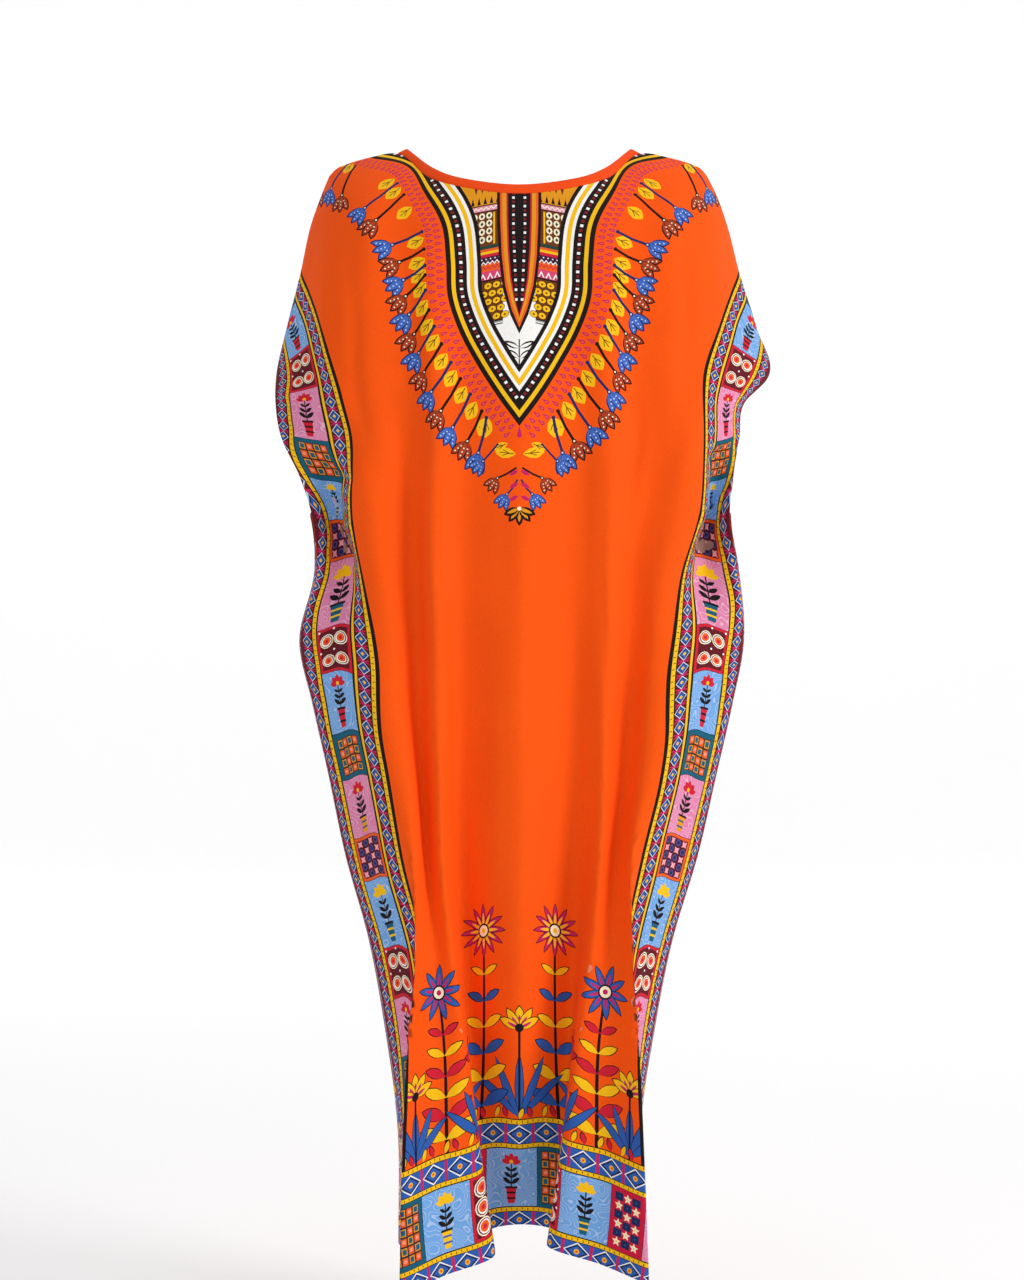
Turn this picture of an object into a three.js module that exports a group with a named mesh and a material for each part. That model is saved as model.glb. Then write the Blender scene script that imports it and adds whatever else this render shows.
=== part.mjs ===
// Kaftan dress, hollow and standing as worn, with nobody in it.
// Millimetres, +Z up, the front faces -Y and +X is the viewer's right.
// The origin lies between the shoulder tips at the height where shoulders carry the cloth.

import * as THREE from "three";

// Thicknesses and gaps
const WALL = 2.0;
const BINDING_WALL = 2.6;
const SEAM_GAP = 0.3;
const LARGEST_SEAM_INSET = 5.0;
// Beside the neck points, where the binding turns over the shoulder seam, it keeps a wider gap
const NECK_TURN_DEPTH = 20;
const NECK_TURN_GAP = 0.9;

// Colours
const ORANGE = "#ef5a1c";
const BINDING_ORANGE = "#e8501a";

// The eight folds and lines of a half section, from the middle of a panel to its side edge:
// middle, inner dip, inner ridge, outer dip, roll, border line, border band, edge.
const NECK_POINT = 3;
const EDGE = 7;
const SPAN_STEPS = [4, 3, 3, 3, 3, 2, 3];

// One row for each height. drop: how far below the shoulder line, counted along the cloth.
// sink: how far the row lies under the origin.
// follow: share of the slope of the shoulder line that is still felt there.
// lean: how much further out the folds of the front lie on the +X side than on the other.
// edgeLean: the same for the side edge. steps: mesh rows down to the next height.
const LEVELS = table("drop sink follow lean edgeLean steps", [
  [0, 0, 1, 0, -1, 2],
  [38, 24, 0.85, 0, 0, 2],
  [80, 64, 0.5, 1, 0, 2],
  [120, 114, 0.2, 1, 1, 2],
  [180, 180, 0, 1, 3, 3],
  [240, 240, 0, 0, 3, 2],
  [268, 268, 0, 3, -10, 2],
  [310, 310, 0, 9, -10, 2],
  [355, 355, 0, 9, -3, 2],
  [400, 400, 0, 7, 2, 3],
  [460, 460, 0, 3, 9, 3],
  [540, 540, 0, 5, 3, 3],
  [610, 610, 0, 4, 4, 3],
  [690, 690, 0, 6, 4, 3],
  [780, 780, 0, 3, 3, 3],
  [880, 880, 0, 5, 2, 3],
  [980, 980, 0, 4, 1, 3],
  [1080, 1080, 0, 4, 0, 4],
  [1190, 1190, 0, 5, 0, 0],
]);
const FOLD_NAMES = "middle innerDip innerRidge outerDip roll line band edge";
const BACK_FOLD_NAMES = "middle innerDip innerRidge outerDip roll line band";

// Distance sideways from the middle line, front
const FRONT_OUT = table(FOLD_NAMES, [
  [0, 64, 103, 139.5, 174, 198, 209, 217],
  [0, 64, 101, 137, 178, 206, 218, 227],
  [0, 64, 99, 133, 180, 214, 229, 240],
  [0, 64, 98, 130, 180, 218, 237, 251],
  [0, 64, 97, 128, 180, 216, 244, 269],
  [0, 64, 97, 126, 178, 207, 247, 280],
  [0, 64, 97, 125, 177, 202, 238, 266],
  [0, 64, 97, 124, 176, 197, 230, 258],
  [0, 64, 97, 123, 175, 198, 216, 243],
  [0, 64, 97, 122, 171, 195, 209, 234],
  [0, 64, 96, 120, 158, 178, 200, 236],
  [0, 64, 95, 119, 145, 165, 207, 249],
  [0, 64, 94, 116, 139, 159, 198, 236],
  [0, 64, 91, 112, 129, 146, 182, 218],
  [0, 63, 87, 104, 120, 126, 161, 198],
  [0, 60, 76, 98, 120, 114, 138, 168],
  [0, 55, 62, 96, 126, 117, 126, 147],
  [0, 47, 48, 92, 130, 121, 124, 131],
  [0, 36, 30, 84, 133, 122, 124, 128],
]);

// Distance forward (minus) or back, front panel
const FRONT_DEPTH = table(FOLD_NAMES, [
  [-76, -67, -46, 0, 0, 0, 0, 0],
  [-84, -78, -66, -36, -33, -24, -14, -2],
  [-94, -90, -86, -72, -66, -44, -25, -4],
  [-104, -100, -101, -90, -86, -62, -34, -6],
  [-114, -108, -111, -99, -98, -78, -46, -10],
  [-121, -113, -118, -104, -105, -90, -60, -24],
  [-123, -115, -120, -105, -107, -94, -70, -42],
  [-125, -115, -122, -105, -109, -96, -78, -60],
  [-127, -114, -124, -104, -111, -96, -66, -74],
  [-127, -113, -124, -103, -111, -94, -52, -76],
  [-127, -111, -125, -102, -113, -102, -62, -72],
  [-127, -108, -126, -102, -118, -116, -94, -62],
  [-127, -106, -127, -103, -124, -124, -94, -56],
  [-129, -104, -129, -106, -130, -130, -97, -55],
  [-131, -101, -133, -114, -140, -134, -101, -58],
  [-132, -99, -140, -132, -156, -138, -106, -66],
  [-126, -98, -148, -148, -172, -148, -116, -80],
  [-112, -100, -152, -162, -188, -160, -128, -92],
  [-90, -106, -156, -176, -206, -174, -140, -102],
]);

// Distance sideways from the middle line, back
const BACK_OUT = table(BACK_FOLD_NAMES, [
  [0, 60, 102, 139.5, 174, 198, 209],
  [0, 60, 100, 137, 178, 206, 218],
  [0, 59, 98, 133, 180, 214, 229],
  [0, 58, 96, 130, 180, 218, 237],
  [0, 57, 95, 128, 178, 217, 245],
  [0, 56, 94, 127, 176, 213, 250],
  [0, 56, 94, 126, 175, 211, 244],
  [0, 55, 93, 126, 174, 209, 238],
  [0, 55, 93, 125, 173, 207, 230],
  [0, 54, 92, 125, 172, 205, 226],
  [0, 53, 91, 124, 170, 204, 228],
  [0, 52, 90, 123, 168, 206, 238],
  [0, 50, 88, 120, 162, 198, 228],
  [0, 48, 85, 115, 154, 186, 212],
  [0, 46, 81, 109, 144, 172, 192],
  [0, 43, 75, 101, 132, 156, 168],
  [0, 40, 70, 94, 122, 142, 150],
  [0, 37, 66, 89, 116, 133, 137],
  [0, 35, 62, 85, 112, 132, 136],
]);

// Distance forward (minus) or back, back panel
const BACK_DEPTH = table(BACK_FOLD_NAMES, [
  [58, 52, 36, 0, 0, 0, 0],
  [72, 68, 58, 34, 30, 20, 11],
  [84, 80, 76, 62, 56, 37, 20],
  [93, 88, 88, 77, 73, 52, 28],
  [99, 93, 98, 85, 84, 64, 34],
  [102, 95, 102, 87, 89, 73, 34],
  [102, 94, 103, 87, 89, 76, 44],
  [101, 93, 102, 86, 88, 76, 50],
  [100, 90, 102, 84, 87, 72, 36],
  [98, 88, 101, 82, 85, 66, 0],
  [96, 84, 100, 78, 84, 60, -6],
  [95, 79, 99, 73, 83, 52, -2],
  [93, 76, 98, 69, 81, 47, -6],
  [90, 71, 96, 63, 78, 41, -10],
  [86, 65, 93, 56, 75, 33, -16],
  [80, 58, 90, 48, 72, 25, -22],
  [75, 51, 88, 40, 69, 16, -32],
  [71, 45, 86, 34, 67, 6, -46],
  [67, 40, 85, 29, 65, -4, -54],
]);

// Heights of the top line over the origin, and how far the hem sinks at each fold
const FRONT_TOP = [-38, -29, -14, 21, 16, 9, 4, -5];
const BACK_TOP = [-17, -12, -2, 21, 16, 9, 4, -5];
const FRONT_SAG = [0, 3, 15, 30, 44, 39, 33, 26];
const BACK_SAG = [22, 20, 24, 20, 26, 28, 28, 26];
// How much more the front's hem sinks on the -X side, and less on the other
const HEM_LEAN = [0, 1, 5, 6, 6, 3, 1, 0];
const SAG_START = 820;
const HEM_DROP = 1190;

// Share of the lean that each fold of the front takes
const LEAN_SHARE = [0, 0.2, 0.4, 0.7, 1, 1, 0.5, 0];
const EDGE_LEAN_SHARE = [0, 0, 0, 0, 0, 0, 0.5, 1];

// Finished neckline, from the middle of a panel to the neck point
const FRONT_NECKLINE = table("out depth height", [
  [0, -73, -27],
  [62, -63, -18.5],
  [97, -42, -3],
  [128, 0, 26],
]);
const BACK_NECKLINE = table("out depth height", [
  [0, 55, -6],
  [58, 49, -1],
  [97, 33, 8.5],
  [128, 0, 26],
]);

// Between these drops front and back aren't joined, and the back edge stands off by up to the gape
const ARM_OPENING = { from: 240, to: 400, gape: 116 };
// A front and back edge further apart than this hang free of each other
const OPEN_DISTANCE = 40;

// Tables and curves

function table(names, rows) {
  const keys = names.split(" ");
  return rows.map((row) => Object.fromEntries(keys.map((key, i) => [key, row[i]])));
}

function values(row) {
  return Object.values(row);
}

function add(a, b, scale = 1) {
  return a.map((v, i) => v + b[i] * scale);
}

function sub(a, b) {
  return a.map((v, i) => v - b[i]);
}

function dot(a, b) {
  return a.reduce((sum, v, i) => sum + v * b[i], 0);
}

function cross(a, b) {
  return [a[1] * b[2] - a[2] * b[1], a[2] * b[0] - a[0] * b[2], a[0] * b[1] - a[1] * b[0]];
}

function unit(a) {
  const length = Math.hypot(...a);
  return a.map((v) => v / length);
}

// Smooth curve through points[i] at places[i], read at place
function curveAt(places, points, place) {
  const last = places.length - 1;
  let i = 0;
  while (i < last - 1 && place >= places[i + 1]) {
    i += 1;
  }
  const slope = (k) => sub(points[k + 1], points[k]).map((v) => v / (places[k + 1] - places[k]));
  const tangent = (k) => {
    if (k === 0) {
      return slope(0);
    }
    if (k === last) {
      return slope(last - 1);
    }
    const before = places[k] - places[k - 1];
    const after = places[k + 1] - places[k];
    const s0 = slope(k - 1);
    const s1 = slope(k);
    return s0.map((v, n) => (v * after + s1[n] * before) / (before + after));
  };
  const step = places[i + 1] - places[i];
  const w = (place - places[i]) / step;
  const t0 = tangent(i);
  const t1 = tangent(i + 1);
  return points[i].map((v, n) => (
    (1 + 2 * w) * (1 - w) ** 2 * v
    + w * (1 - w) ** 2 * step * t0[n]
    + w * w * (3 - 2 * w) * points[i + 1][n]
    + w * w * (w - 1) * step * t1[n]
  ));
}

const DROPS = LEVELS.map((level) => level.drop);

function readTable(rows, drop) {
  return curveAt(DROPS, rows.map(values), drop);
}

// The shape of the cloth

const PANELS = {
  front: { out: FRONT_OUT, depth: FRONT_DEPTH, top: FRONT_TOP, sag: FRONT_SAG, leans: 1, facing: -1 },
  back: { out: BACK_OUT, depth: BACK_DEPTH, top: BACK_TOP, sag: BACK_SAG, leans: 0, facing: 1 },
};

// How far the back edge stands behind the front edge
function gapeAt(drop) {
  const share = (drop - ARM_OPENING.from) / (ARM_OPENING.to - ARM_OPENING.from);
  return share > 0 && share < 1 ? ARM_OPENING.gape * Math.sin(Math.PI * share) ** 2 : 0;
}

// Eight points of a half section as if on the +X side; side is 1 or -1
function foldPoints(name, side, drop) {
  const panel = PANELS[name];
  const [, sink, follow, lean, edgeLean] = readTable(LEVELS, drop);
  const out = readTable(panel.out, drop);
  const depth = readTable(panel.depth, drop);
  if (name === "back") {
    out.push(readTable(FRONT_OUT, drop)[EDGE]);
    depth.push(readTable(FRONT_DEPTH, drop)[EDGE] + gapeAt(drop));
  }
  const low = Math.max(0, (drop - SAG_START) / (HEM_DROP - SAG_START)) ** 2;
  return out.map((x, k) => [
    x + side * (panel.leans * lean * LEAN_SHARE[k] + edgeLean * EDGE_LEAN_SHARE[k]),
    depth[k],
    follow * panel.top[k] - sink - (panel.sag[k] - side * panel.leans * HEM_LEAN[k]) * low,
  ]);
}

// Mesh points of a half section from the middle to the edge
function halfSection(name, side, drop) {
  const points = foldPoints(name, side, drop);
  const other = foldPoints(name === "front" ? "back" : "front", side, drop);
  const mirrored = foldPoints(name, -side, drop)[1];
  const open = Math.min(1, Math.hypot(...sub(points[EDGE], other[EDGE])) / OPEN_DISTANCE);
  const straightOn = add(points[EDGE], sub(points[EDGE], points[EDGE - 1]));
  const beyond = add(other[EDGE - 1].map((v) => v * (1 - open)), straightOn, open);
  const line = [[-mirrored[0], mirrored[1], mirrored[2]], ...points, beyond];
  const places = [0];
  for (let k = 1; k < line.length; k += 1) {
    const plan = Math.hypot(line[k][0] - line[k - 1][0], line[k][1] - line[k - 1][1]);
    places.push(places[k - 1] + Math.sqrt(plan) + 0.6);
  }
  const row = [];
  SPAN_STEPS.forEach((steps, span) => {
    for (let j = span === 0 ? 0 : 1; j <= steps; j += 1) {
      const a = places[span + 1];
      const b = places[span + 2];
      const [x, y, z] = curveAt(places, line, a + (b - a) * (j / steps));
      row.push([x * side, y, z]);
    }
  });
  return row;
}

function meshDrops() {
  const drops = [0];
  LEVELS.forEach((level, i) => {
    for (let j = 1; j <= level.steps; j += 1) {
      drops.push(level.drop + (LEVELS[i + 1].drop - level.drop) * (j / level.steps));
    }
  });
  return drops;
}

// Rows from the top line to the hem, each from the -X edge to the +X edge
function panelGrid(name) {
  return meshDrops().map((drop) => {
    const left = halfSection(name, -1, drop).reverse();
    const right = halfSection(name, 1, drop);
    return [...left, ...right.slice(1)];
  });
}

const HALF_COUNT = SPAN_STEPS.reduce((sum, n) => sum + n, 0);
const NECK_COUNT = SPAN_STEPS.slice(0, NECK_POINT).reduce((sum, n) => sum + n, 0);

// Draws an edge point back from the seam until the walls of both panels just clear each other
function drawBack(point, inward, otherInward, normal, distance) {
  const toSeam = unit(sub(point, inward));
  const otherToSeam = unit(sub(point, otherInward));
  const across = unit(sub(toSeam, otherToSeam));
  const reach = (SEAM_GAP / 2 + (WALL / 2) * Math.abs(dot(normal, across))) / dot(toSeam, across);
  const inset = Math.max(0, Math.min(LARGEST_SEAM_INSET, reach) - distance / 2);
  return add(point, toSeam, -inset);
}

function normalsOf(grid, facing) {
  const rows = grid.length;
  const columns = grid[0].length;
  return grid.map((row, i) => row.map((_, j) => {
    const along = sub(grid[i][Math.min(columns - 1, j + 1)], grid[i][Math.max(0, j - 1)]);
    const down = sub(grid[Math.min(rows - 1, i + 1)][j], grid[Math.max(0, i - 1)][j]);
    return unit(cross(along, down)).map((v) => v * facing);
  }));
}

// Both panels with their edges drawn back from the shoulder and side seams
function seamedGrids() {
  const raw = { front: panelGrid("front"), back: panelGrid("back") };
  const last = 2 * HALF_COUNT;
  raw.front[0].forEach((point, j) => {
    if (Math.abs(j - HALF_COUNT) >= NECK_COUNT) {
      const shared = add(point, raw.back[0][j]).map((v) => v / 2);
      raw.front[0][j] = shared;
      raw.back[0][j] = shared;
    }
  });
  const done = {};
  for (const name of ["front", "back"]) {
    const grid = raw[name];
    const other = raw[name === "front" ? "back" : "front"];
    const normals = normalsOf(grid, PANELS[name].facing);
    done[name] = grid.map((row, i) => row.map((point, j) => {
      const gap = Math.hypot(...sub(point, other[i][j]));
      if (i === 0 && Math.abs(j - HALF_COUNT) >= NECK_COUNT) {
        const k = Math.max(1, Math.min(last - 1, j));
        return drawBack(point, grid[1][k], other[1][k], normals[i][j], gap);
      }
      if (j === 0) {
        return drawBack(point, grid[i][1], other[i][1], normals[i][j], gap);
      }
      if (j === last) {
        return drawBack(point, grid[i][last - 1], other[i][last - 1], normals[i][j], gap);
      }
      return point;
    }));
  }
  return done;
}

// Solids

// Wall of even thickness round a grid of middle points; ring closes the rows on themselves
function wallGeometry(grid, normals, thickness, ring) {
  const rows = grid.length;
  const columns = grid[0].length;
  const positions = [];
  const index = [];
  for (const sign of [1, -1]) {
    grid.forEach((row, i) => row.forEach((point, j) => {
      positions.push(...add(point, normals[i][j], (sign * thickness) / 2));
    }));
  }
  const outer = (i, j) => i * columns + (j % columns);
  const inner = (i, j) => rows * columns + outer(i, j);
  const quad = (a, b, c, d) => index.push(a, b, c, a, c, d);
  const spans = ring ? columns : columns - 1;
  for (let i = 0; i < rows - 1; i += 1) {
    for (let j = 0; j < spans; j += 1) {
      quad(outer(i, j), outer(i + 1, j), outer(i + 1, j + 1), outer(i, j + 1));
      quad(inner(i, j), inner(i, j + 1), inner(i + 1, j + 1), inner(i + 1, j));
    }
  }
  for (let j = 0; j < spans; j += 1) {
    quad(outer(0, j), outer(0, j + 1), inner(0, j + 1), inner(0, j));
    quad(outer(rows - 1, j + 1), outer(rows - 1, j), inner(rows - 1, j), inner(rows - 1, j + 1));
  }
  if (!ring) {
    for (let i = 0; i < rows - 1; i += 1) {
      quad(outer(i + 1, 0), outer(i, 0), inner(i, 0), inner(i + 1, 0));
      const e = columns - 1;
      quad(outer(i, e), outer(i + 1, e), inner(i + 1, e), inner(i, e));
    }
  }
  const geometry = new THREE.BufferGeometry();
  geometry.setAttribute("position", new THREE.Float32BufferAttribute(positions, 3));
  geometry.setIndex(index);
  geometry.computeVertexNormals();
  return geometry;
}

function mesh(name, geometry, colour) {
  const material = new THREE.MeshStandardMaterial({ color: colour, roughness: 0.85, metalness: 0 });
  const part = new THREE.Mesh(geometry, material);
  part.name = name;
  return part;
}

function panelMesh(name, grid) {
  const facing = PANELS[name].facing;
  // Seen from outside the columns must run the same way round, so the back is read in reverse
  const ordered = facing < 0 ? grid : grid.map((row) => [...row].reverse());
  const normals = normalsOf(ordered, -1);
  return mesh(`${name}_panel`, wallGeometry(ordered, normals, WALL, false), ORANGE);
}

// Band round the neck, from the finished neckline down to the panels
function bindingMesh(grids) {
  const normals = {
    front: normalsOf(grids.front.slice(0, 2), PANELS.front.facing)[0],
    back: normalsOf(grids.back.slice(0, 2), PANELS.back.facing)[0],
  };
  const quarter = (name, side) => {
    const neckline = (name === "front" ? FRONT_NECKLINE : BACK_NECKLINE).map(values);
    const [out, depth, height] = neckline[1];
    const mirrored = [[-out, depth, height], ...neckline];
    const places = [-1, 0, 1, 2, 3];
    const points = [];
    let span = 0;
    let j = 0;
    for (let n = 0; n <= NECK_COUNT; n += 1) {
      const place = span + j / SPAN_STEPS[span];
      const [x, y, z] = curveAt(places, mirrored, Math.min(place, 3));
      const panelPoint = grids[name][0][HALF_COUNT + side * n];
      const facing = normals[name][HALF_COUNT + side * n];
      points.push({ top: [x * side, y, z], panel: panelPoint, facing });
      j += 1;
      if (j === SPAN_STEPS[span] && span < 2) {
        span += 1;
        j = 0;
      }
    }
    return points;
  };
  const front = [...quarter("front", -1).reverse(), ...quarter("front", 1).slice(1)];
  const back = [...quarter("back", 1).reverse(), ...quarter("back", -1).slice(1)];
  const seamPoint = (a, b) => ({
    top: a.top,
    panel: add(a.panel, b.panel).map((v) => v / 2),
    facing: unit(add(a.facing, b.facing)),
  });
  const around = [
    seamPoint(front[0], back[back.length - 1]),
    ...front.slice(1, -1),
    seamPoint(front[front.length - 1], back[0]),
    ...back.slice(1, -1),
  ];
  const low = around.map(({ top, panel }) => {
    const spare = Math.abs(top[1]) < NECK_TURN_DEPTH ? NECK_TURN_GAP : SEAM_GAP;
    return add(panel, unit(sub(top, panel)), spare);
  });
  const high = around.map(({ top }) => top);
  const middle = low.map((point, k) => add(point, high[k]).map((v) => v / 2));
  const facings = around.map(({ facing }) => facing);
  const geometry = wallGeometry([high, middle, low], [facings, facings, facings], BINDING_WALL, true);
  return mesh("neck_binding", geometry, BINDING_ORANGE);
}

function buildKaftan() {
  const grids = seamedGrids();
  const group = new THREE.Group();
  group.name = "kaftan";
  group.add(panelMesh("front", grids.front));
  group.add(panelMesh("back", grids.back));
  group.add(bindingMesh(grids));
  return group;
}

export default buildKaftan();
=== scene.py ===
import math

import bpy
import numpy as np
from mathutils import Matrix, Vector
from mathutils.geometry import delaunay_2d_cdt


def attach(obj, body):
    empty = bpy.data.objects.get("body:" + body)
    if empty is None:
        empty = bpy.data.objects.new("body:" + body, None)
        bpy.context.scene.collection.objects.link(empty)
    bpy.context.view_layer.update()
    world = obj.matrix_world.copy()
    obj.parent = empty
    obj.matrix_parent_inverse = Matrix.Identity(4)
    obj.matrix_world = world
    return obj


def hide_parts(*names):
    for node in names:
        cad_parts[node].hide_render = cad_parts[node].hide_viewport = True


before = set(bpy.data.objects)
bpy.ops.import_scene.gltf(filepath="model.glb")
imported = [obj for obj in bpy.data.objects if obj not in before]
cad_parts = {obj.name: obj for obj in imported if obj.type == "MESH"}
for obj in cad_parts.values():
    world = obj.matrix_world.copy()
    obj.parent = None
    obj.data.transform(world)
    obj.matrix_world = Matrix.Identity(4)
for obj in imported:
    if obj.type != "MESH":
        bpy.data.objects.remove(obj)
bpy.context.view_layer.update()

# The form of the cloth, in millimetres: one row for each height, one column for each fold.
# drop: how far below the shoulder line, counted along the cloth. sink: how far under the origin.
# follow: share of the slope of the shoulder line. lean, edge_lean: how much the +X side is further out.
DROPS = np.array([0, 38, 80, 120, 180, 240, 268, 310, 355, 400, 460, 540, 610, 690, 780, 880, 980,
                  1080, 1190], float)
SINK = np.array([0, 24, 64, 114, 180, 240, 268, 310, 355, 400, 460, 540, 610, 690, 780, 880, 980,
                 1080, 1190], float)
FOLLOW = np.array([1, 0.85, 0.5, 0.2] + [0] * 15, float)
LEAN = np.array([0, 0, 1, 1, 1, 0, 3, 9, 9, 7, 3, 5, 4, 6, 3, 5, 4, 4, 5], float)
EDGE_LEAN = np.array([-1, 0, 0, 1, 3, 3, -10, -10, -3, 2, 9, 3, 4, 4, 3, 2, 1, 0, 0], float)
EDGE = 7

# Columns: middle, inner dip, inner ridge, outer dip, roll, border line, border band, edge
FRONT_OUT = np.array([
    (0, 64, 103, 139.5, 174, 198, 209, 217),
    (0, 64, 101, 137, 178, 206, 218, 227),
    (0, 64, 99, 133, 180, 214, 229, 240),
    (0, 64, 98, 130, 180, 218, 237, 251),
    (0, 64, 97, 128, 180, 216, 244, 269),
    (0, 64, 97, 126, 178, 207, 247, 280),
    (0, 64, 97, 125, 177, 202, 238, 266),
    (0, 64, 97, 124, 176, 197, 230, 258),
    (0, 64, 97, 123, 175, 198, 216, 243),
    (0, 64, 97, 122, 171, 195, 209, 234),
    (0, 64, 96, 120, 158, 178, 200, 236),
    (0, 64, 95, 119, 145, 165, 207, 249),
    (0, 64, 94, 116, 139, 159, 198, 236),
    (0, 64, 91, 112, 129, 146, 182, 218),
    (0, 63, 87, 104, 120, 126, 161, 198),
    (0, 60, 76, 98, 120, 114, 138, 168),
    (0, 55, 62, 96, 126, 117, 126, 147),
    (0, 47, 48, 92, 130, 121, 124, 131),
    (0, 36, 30, 84, 133, 122, 124, 128),
])
FRONT_DEPTH = np.array([
    (-76, -67, -46, 0, 0, 0, 0, 0),
    (-84, -78, -66, -36, -33, -24, -14, -2),
    (-94, -90, -86, -72, -66, -44, -25, -4),
    (-104, -100, -101, -90, -86, -62, -34, -6),
    (-114, -108, -111, -99, -98, -78, -46, -10),
    (-121, -113, -118, -104, -105, -90, -60, -24),
    (-123, -115, -120, -105, -107, -94, -70, -42),
    (-125, -115, -122, -105, -109, -96, -78, -60),
    (-127, -114, -124, -104, -111, -96, -66, -74),
    (-127, -113, -124, -103, -111, -94, -52, -76),
    (-127, -111, -125, -102, -113, -102, -62, -72),
    (-127, -108, -126, -102, -118, -116, -94, -62),
    (-127, -106, -127, -103, -124, -124, -94, -56),
    (-129, -104, -129, -106, -130, -130, -97, -55),
    (-131, -101, -133, -114, -140, -134, -101, -58),
    (-132, -99, -140, -132, -156, -138, -106, -66),
    (-126, -98, -148, -148, -172, -148, -116, -80),
    (-112, -100, -152, -162, -188, -160, -128, -92),
    (-90, -106, -156, -176, -206, -174, -140, -102),
], float)
# The back's edge is the front's, so these have seven columns
BACK_OUT = np.array([
    (0, 60, 102, 139.5, 174, 198, 209),
    (0, 60, 100, 137, 178, 206, 218),
    (0, 59, 98, 133, 180, 214, 229),
    (0, 58, 96, 130, 180, 218, 237),
    (0, 57, 95, 128, 178, 217, 245),
    (0, 56, 94, 127, 176, 213, 250),
    (0, 56, 94, 126, 175, 211, 244),
    (0, 55, 93, 126, 174, 209, 238),
    (0, 55, 93, 125, 173, 207, 230),
    (0, 54, 92, 125, 172, 205, 226),
    (0, 53, 91, 124, 170, 204, 228),
    (0, 52, 90, 123, 168, 206, 238),
    (0, 50, 88, 120, 162, 198, 228),
    (0, 48, 85, 115, 154, 186, 212),
    (0, 46, 81, 109, 144, 172, 192),
    (0, 43, 75, 101, 132, 156, 168),
    (0, 40, 70, 94, 122, 142, 150),
    (0, 37, 66, 89, 116, 133, 137),
    (0, 35, 62, 85, 112, 132, 136),
])
BACK_DEPTH = np.array([
    (58, 52, 36, 0, 0, 0, 0),
    (72, 68, 58, 34, 30, 20, 11),
    (84, 80, 76, 62, 56, 37, 20),
    (93, 88, 88, 77, 73, 52, 28),
    (99, 93, 98, 85, 84, 64, 34),
    (102, 95, 102, 87, 89, 73, 34),
    (102, 94, 103, 87, 89, 76, 44),
    (101, 93, 102, 86, 88, 76, 50),
    (100, 90, 102, 84, 87, 72, 36),
    (98, 88, 101, 82, 85, 66, 0),
    (96, 84, 100, 78, 84, 60, -6),
    (95, 79, 99, 73, 83, 52, -2),
    (93, 76, 98, 69, 81, 47, -6),
    (90, 71, 96, 63, 78, 41, -10),
    (86, 65, 93, 56, 75, 33, -16),
    (80, 58, 90, 48, 72, 25, -22),
    (75, 51, 88, 40, 69, 16, -32),
    (71, 45, 86, 34, 67, 6, -46),
    (67, 40, 85, 29, 65, -4, -54),
], float)
TOP = {"front": (-38, -29, -14, 21, 16, 9, 4, -5), "back": (-17, -12, -2, 21, 16, 9, 4, -5)}
SAG = {"front": (0, 3, 15, 30, 44, 39, 33, 26), "back": (22, 20, 24, 20, 26, 28, 28, 26)}
# The front's hem sinks more on the -X side, and less on the other
HEM_LEAN = {"front": (0, 1, 5, 6, 6, 3, 1, 0), "back": (0,) * 8}
LEAN_SHARE = np.array([0, 0.2, 0.4, 0.7, 1, 1, 0.5, 0])
EDGE_LEAN_SHARE = np.array([0, 0, 0, 0, 0, 0, 0.5, 1])
SAG_START, HEM_DROP = 820, 1190
ARM_FROM, ARM_TO, ARM_GAPE = 240, 400, 116
OPEN_DISTANCE = 40
NECK_POINT = 3

# Fine rows and columns of the visible cloth
ROW_STEP = 2.5
SPAN_STEPS = 16
ROWS = np.arange(0, HEM_DROP + ROW_STEP, ROW_STEP)
COLUMNS = np.linspace(0, EDGE, EDGE * SPAN_STEPS + 1)


def curve_at(places, points, at):
    """Smooth curve through points at places, read at each of at."""
    places = np.asarray(places, float)
    points = np.asarray(points, float).reshape(len(places), -1)
    at = np.atleast_1d(np.asarray(at, float))
    i = np.clip(np.searchsorted(places, at, side="right") - 1, 0, len(places) - 2)
    gaps = np.diff(places)[:, None]
    slopes = np.diff(points, axis=0) / gaps
    inner = (slopes[:-1] * gaps[1:] + slopes[1:] * gaps[:-1]) / (gaps[:-1] + gaps[1:])
    tangents = np.vstack([slopes[:1], inner, slopes[-1:]])
    step = gaps[i]
    w = (at - places[i])[:, None] / step
    return ((1 + 2 * w) * (1 - w) ** 2 * points[i] + w * (1 - w) ** 2 * step * tangents[i]
            + w * w * (3 - 2 * w) * points[i + 1] + w * w * (w - 1) * step * tangents[i + 1])


def fold_points(name, side, drops):
    """Eight points of each half section as if on the +X side; side is 1 or -1."""
    read = [curve_at(DROPS, column, drops) for column in (SINK, FOLLOW, LEAN, EDGE_LEAN)]
    sink, follow, lean, edge_lean = read
    out = curve_at(DROPS, FRONT_OUT, drops)
    depth = curve_at(DROPS, FRONT_DEPTH, drops)
    if name == "back":
        share = np.clip((drops - ARM_FROM) / (ARM_TO - ARM_FROM), 0, 1)
        back_edge = depth[:, EDGE:] + ARM_GAPE * np.sin(np.pi * share)[:, None] ** 2
        out = np.hstack([curve_at(DROPS, BACK_OUT, drops), out[:, EDGE:]])
        depth = np.hstack([curve_at(DROPS, BACK_DEPTH, drops), back_edge])
        lean = lean * 0
    low = np.clip((drops - SAG_START) / (HEM_DROP - SAG_START), 0, None)[:, None] ** 2
    x = out + side * (lean * LEAN_SHARE + edge_lean * EDGE_LEAN_SHARE)
    sag = np.array(SAG[name]) - side * np.array(HEM_LEAN[name])
    z = follow * np.array(TOP[name]) - sink - sag * low
    return np.stack([x, depth, z], axis=2)


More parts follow.
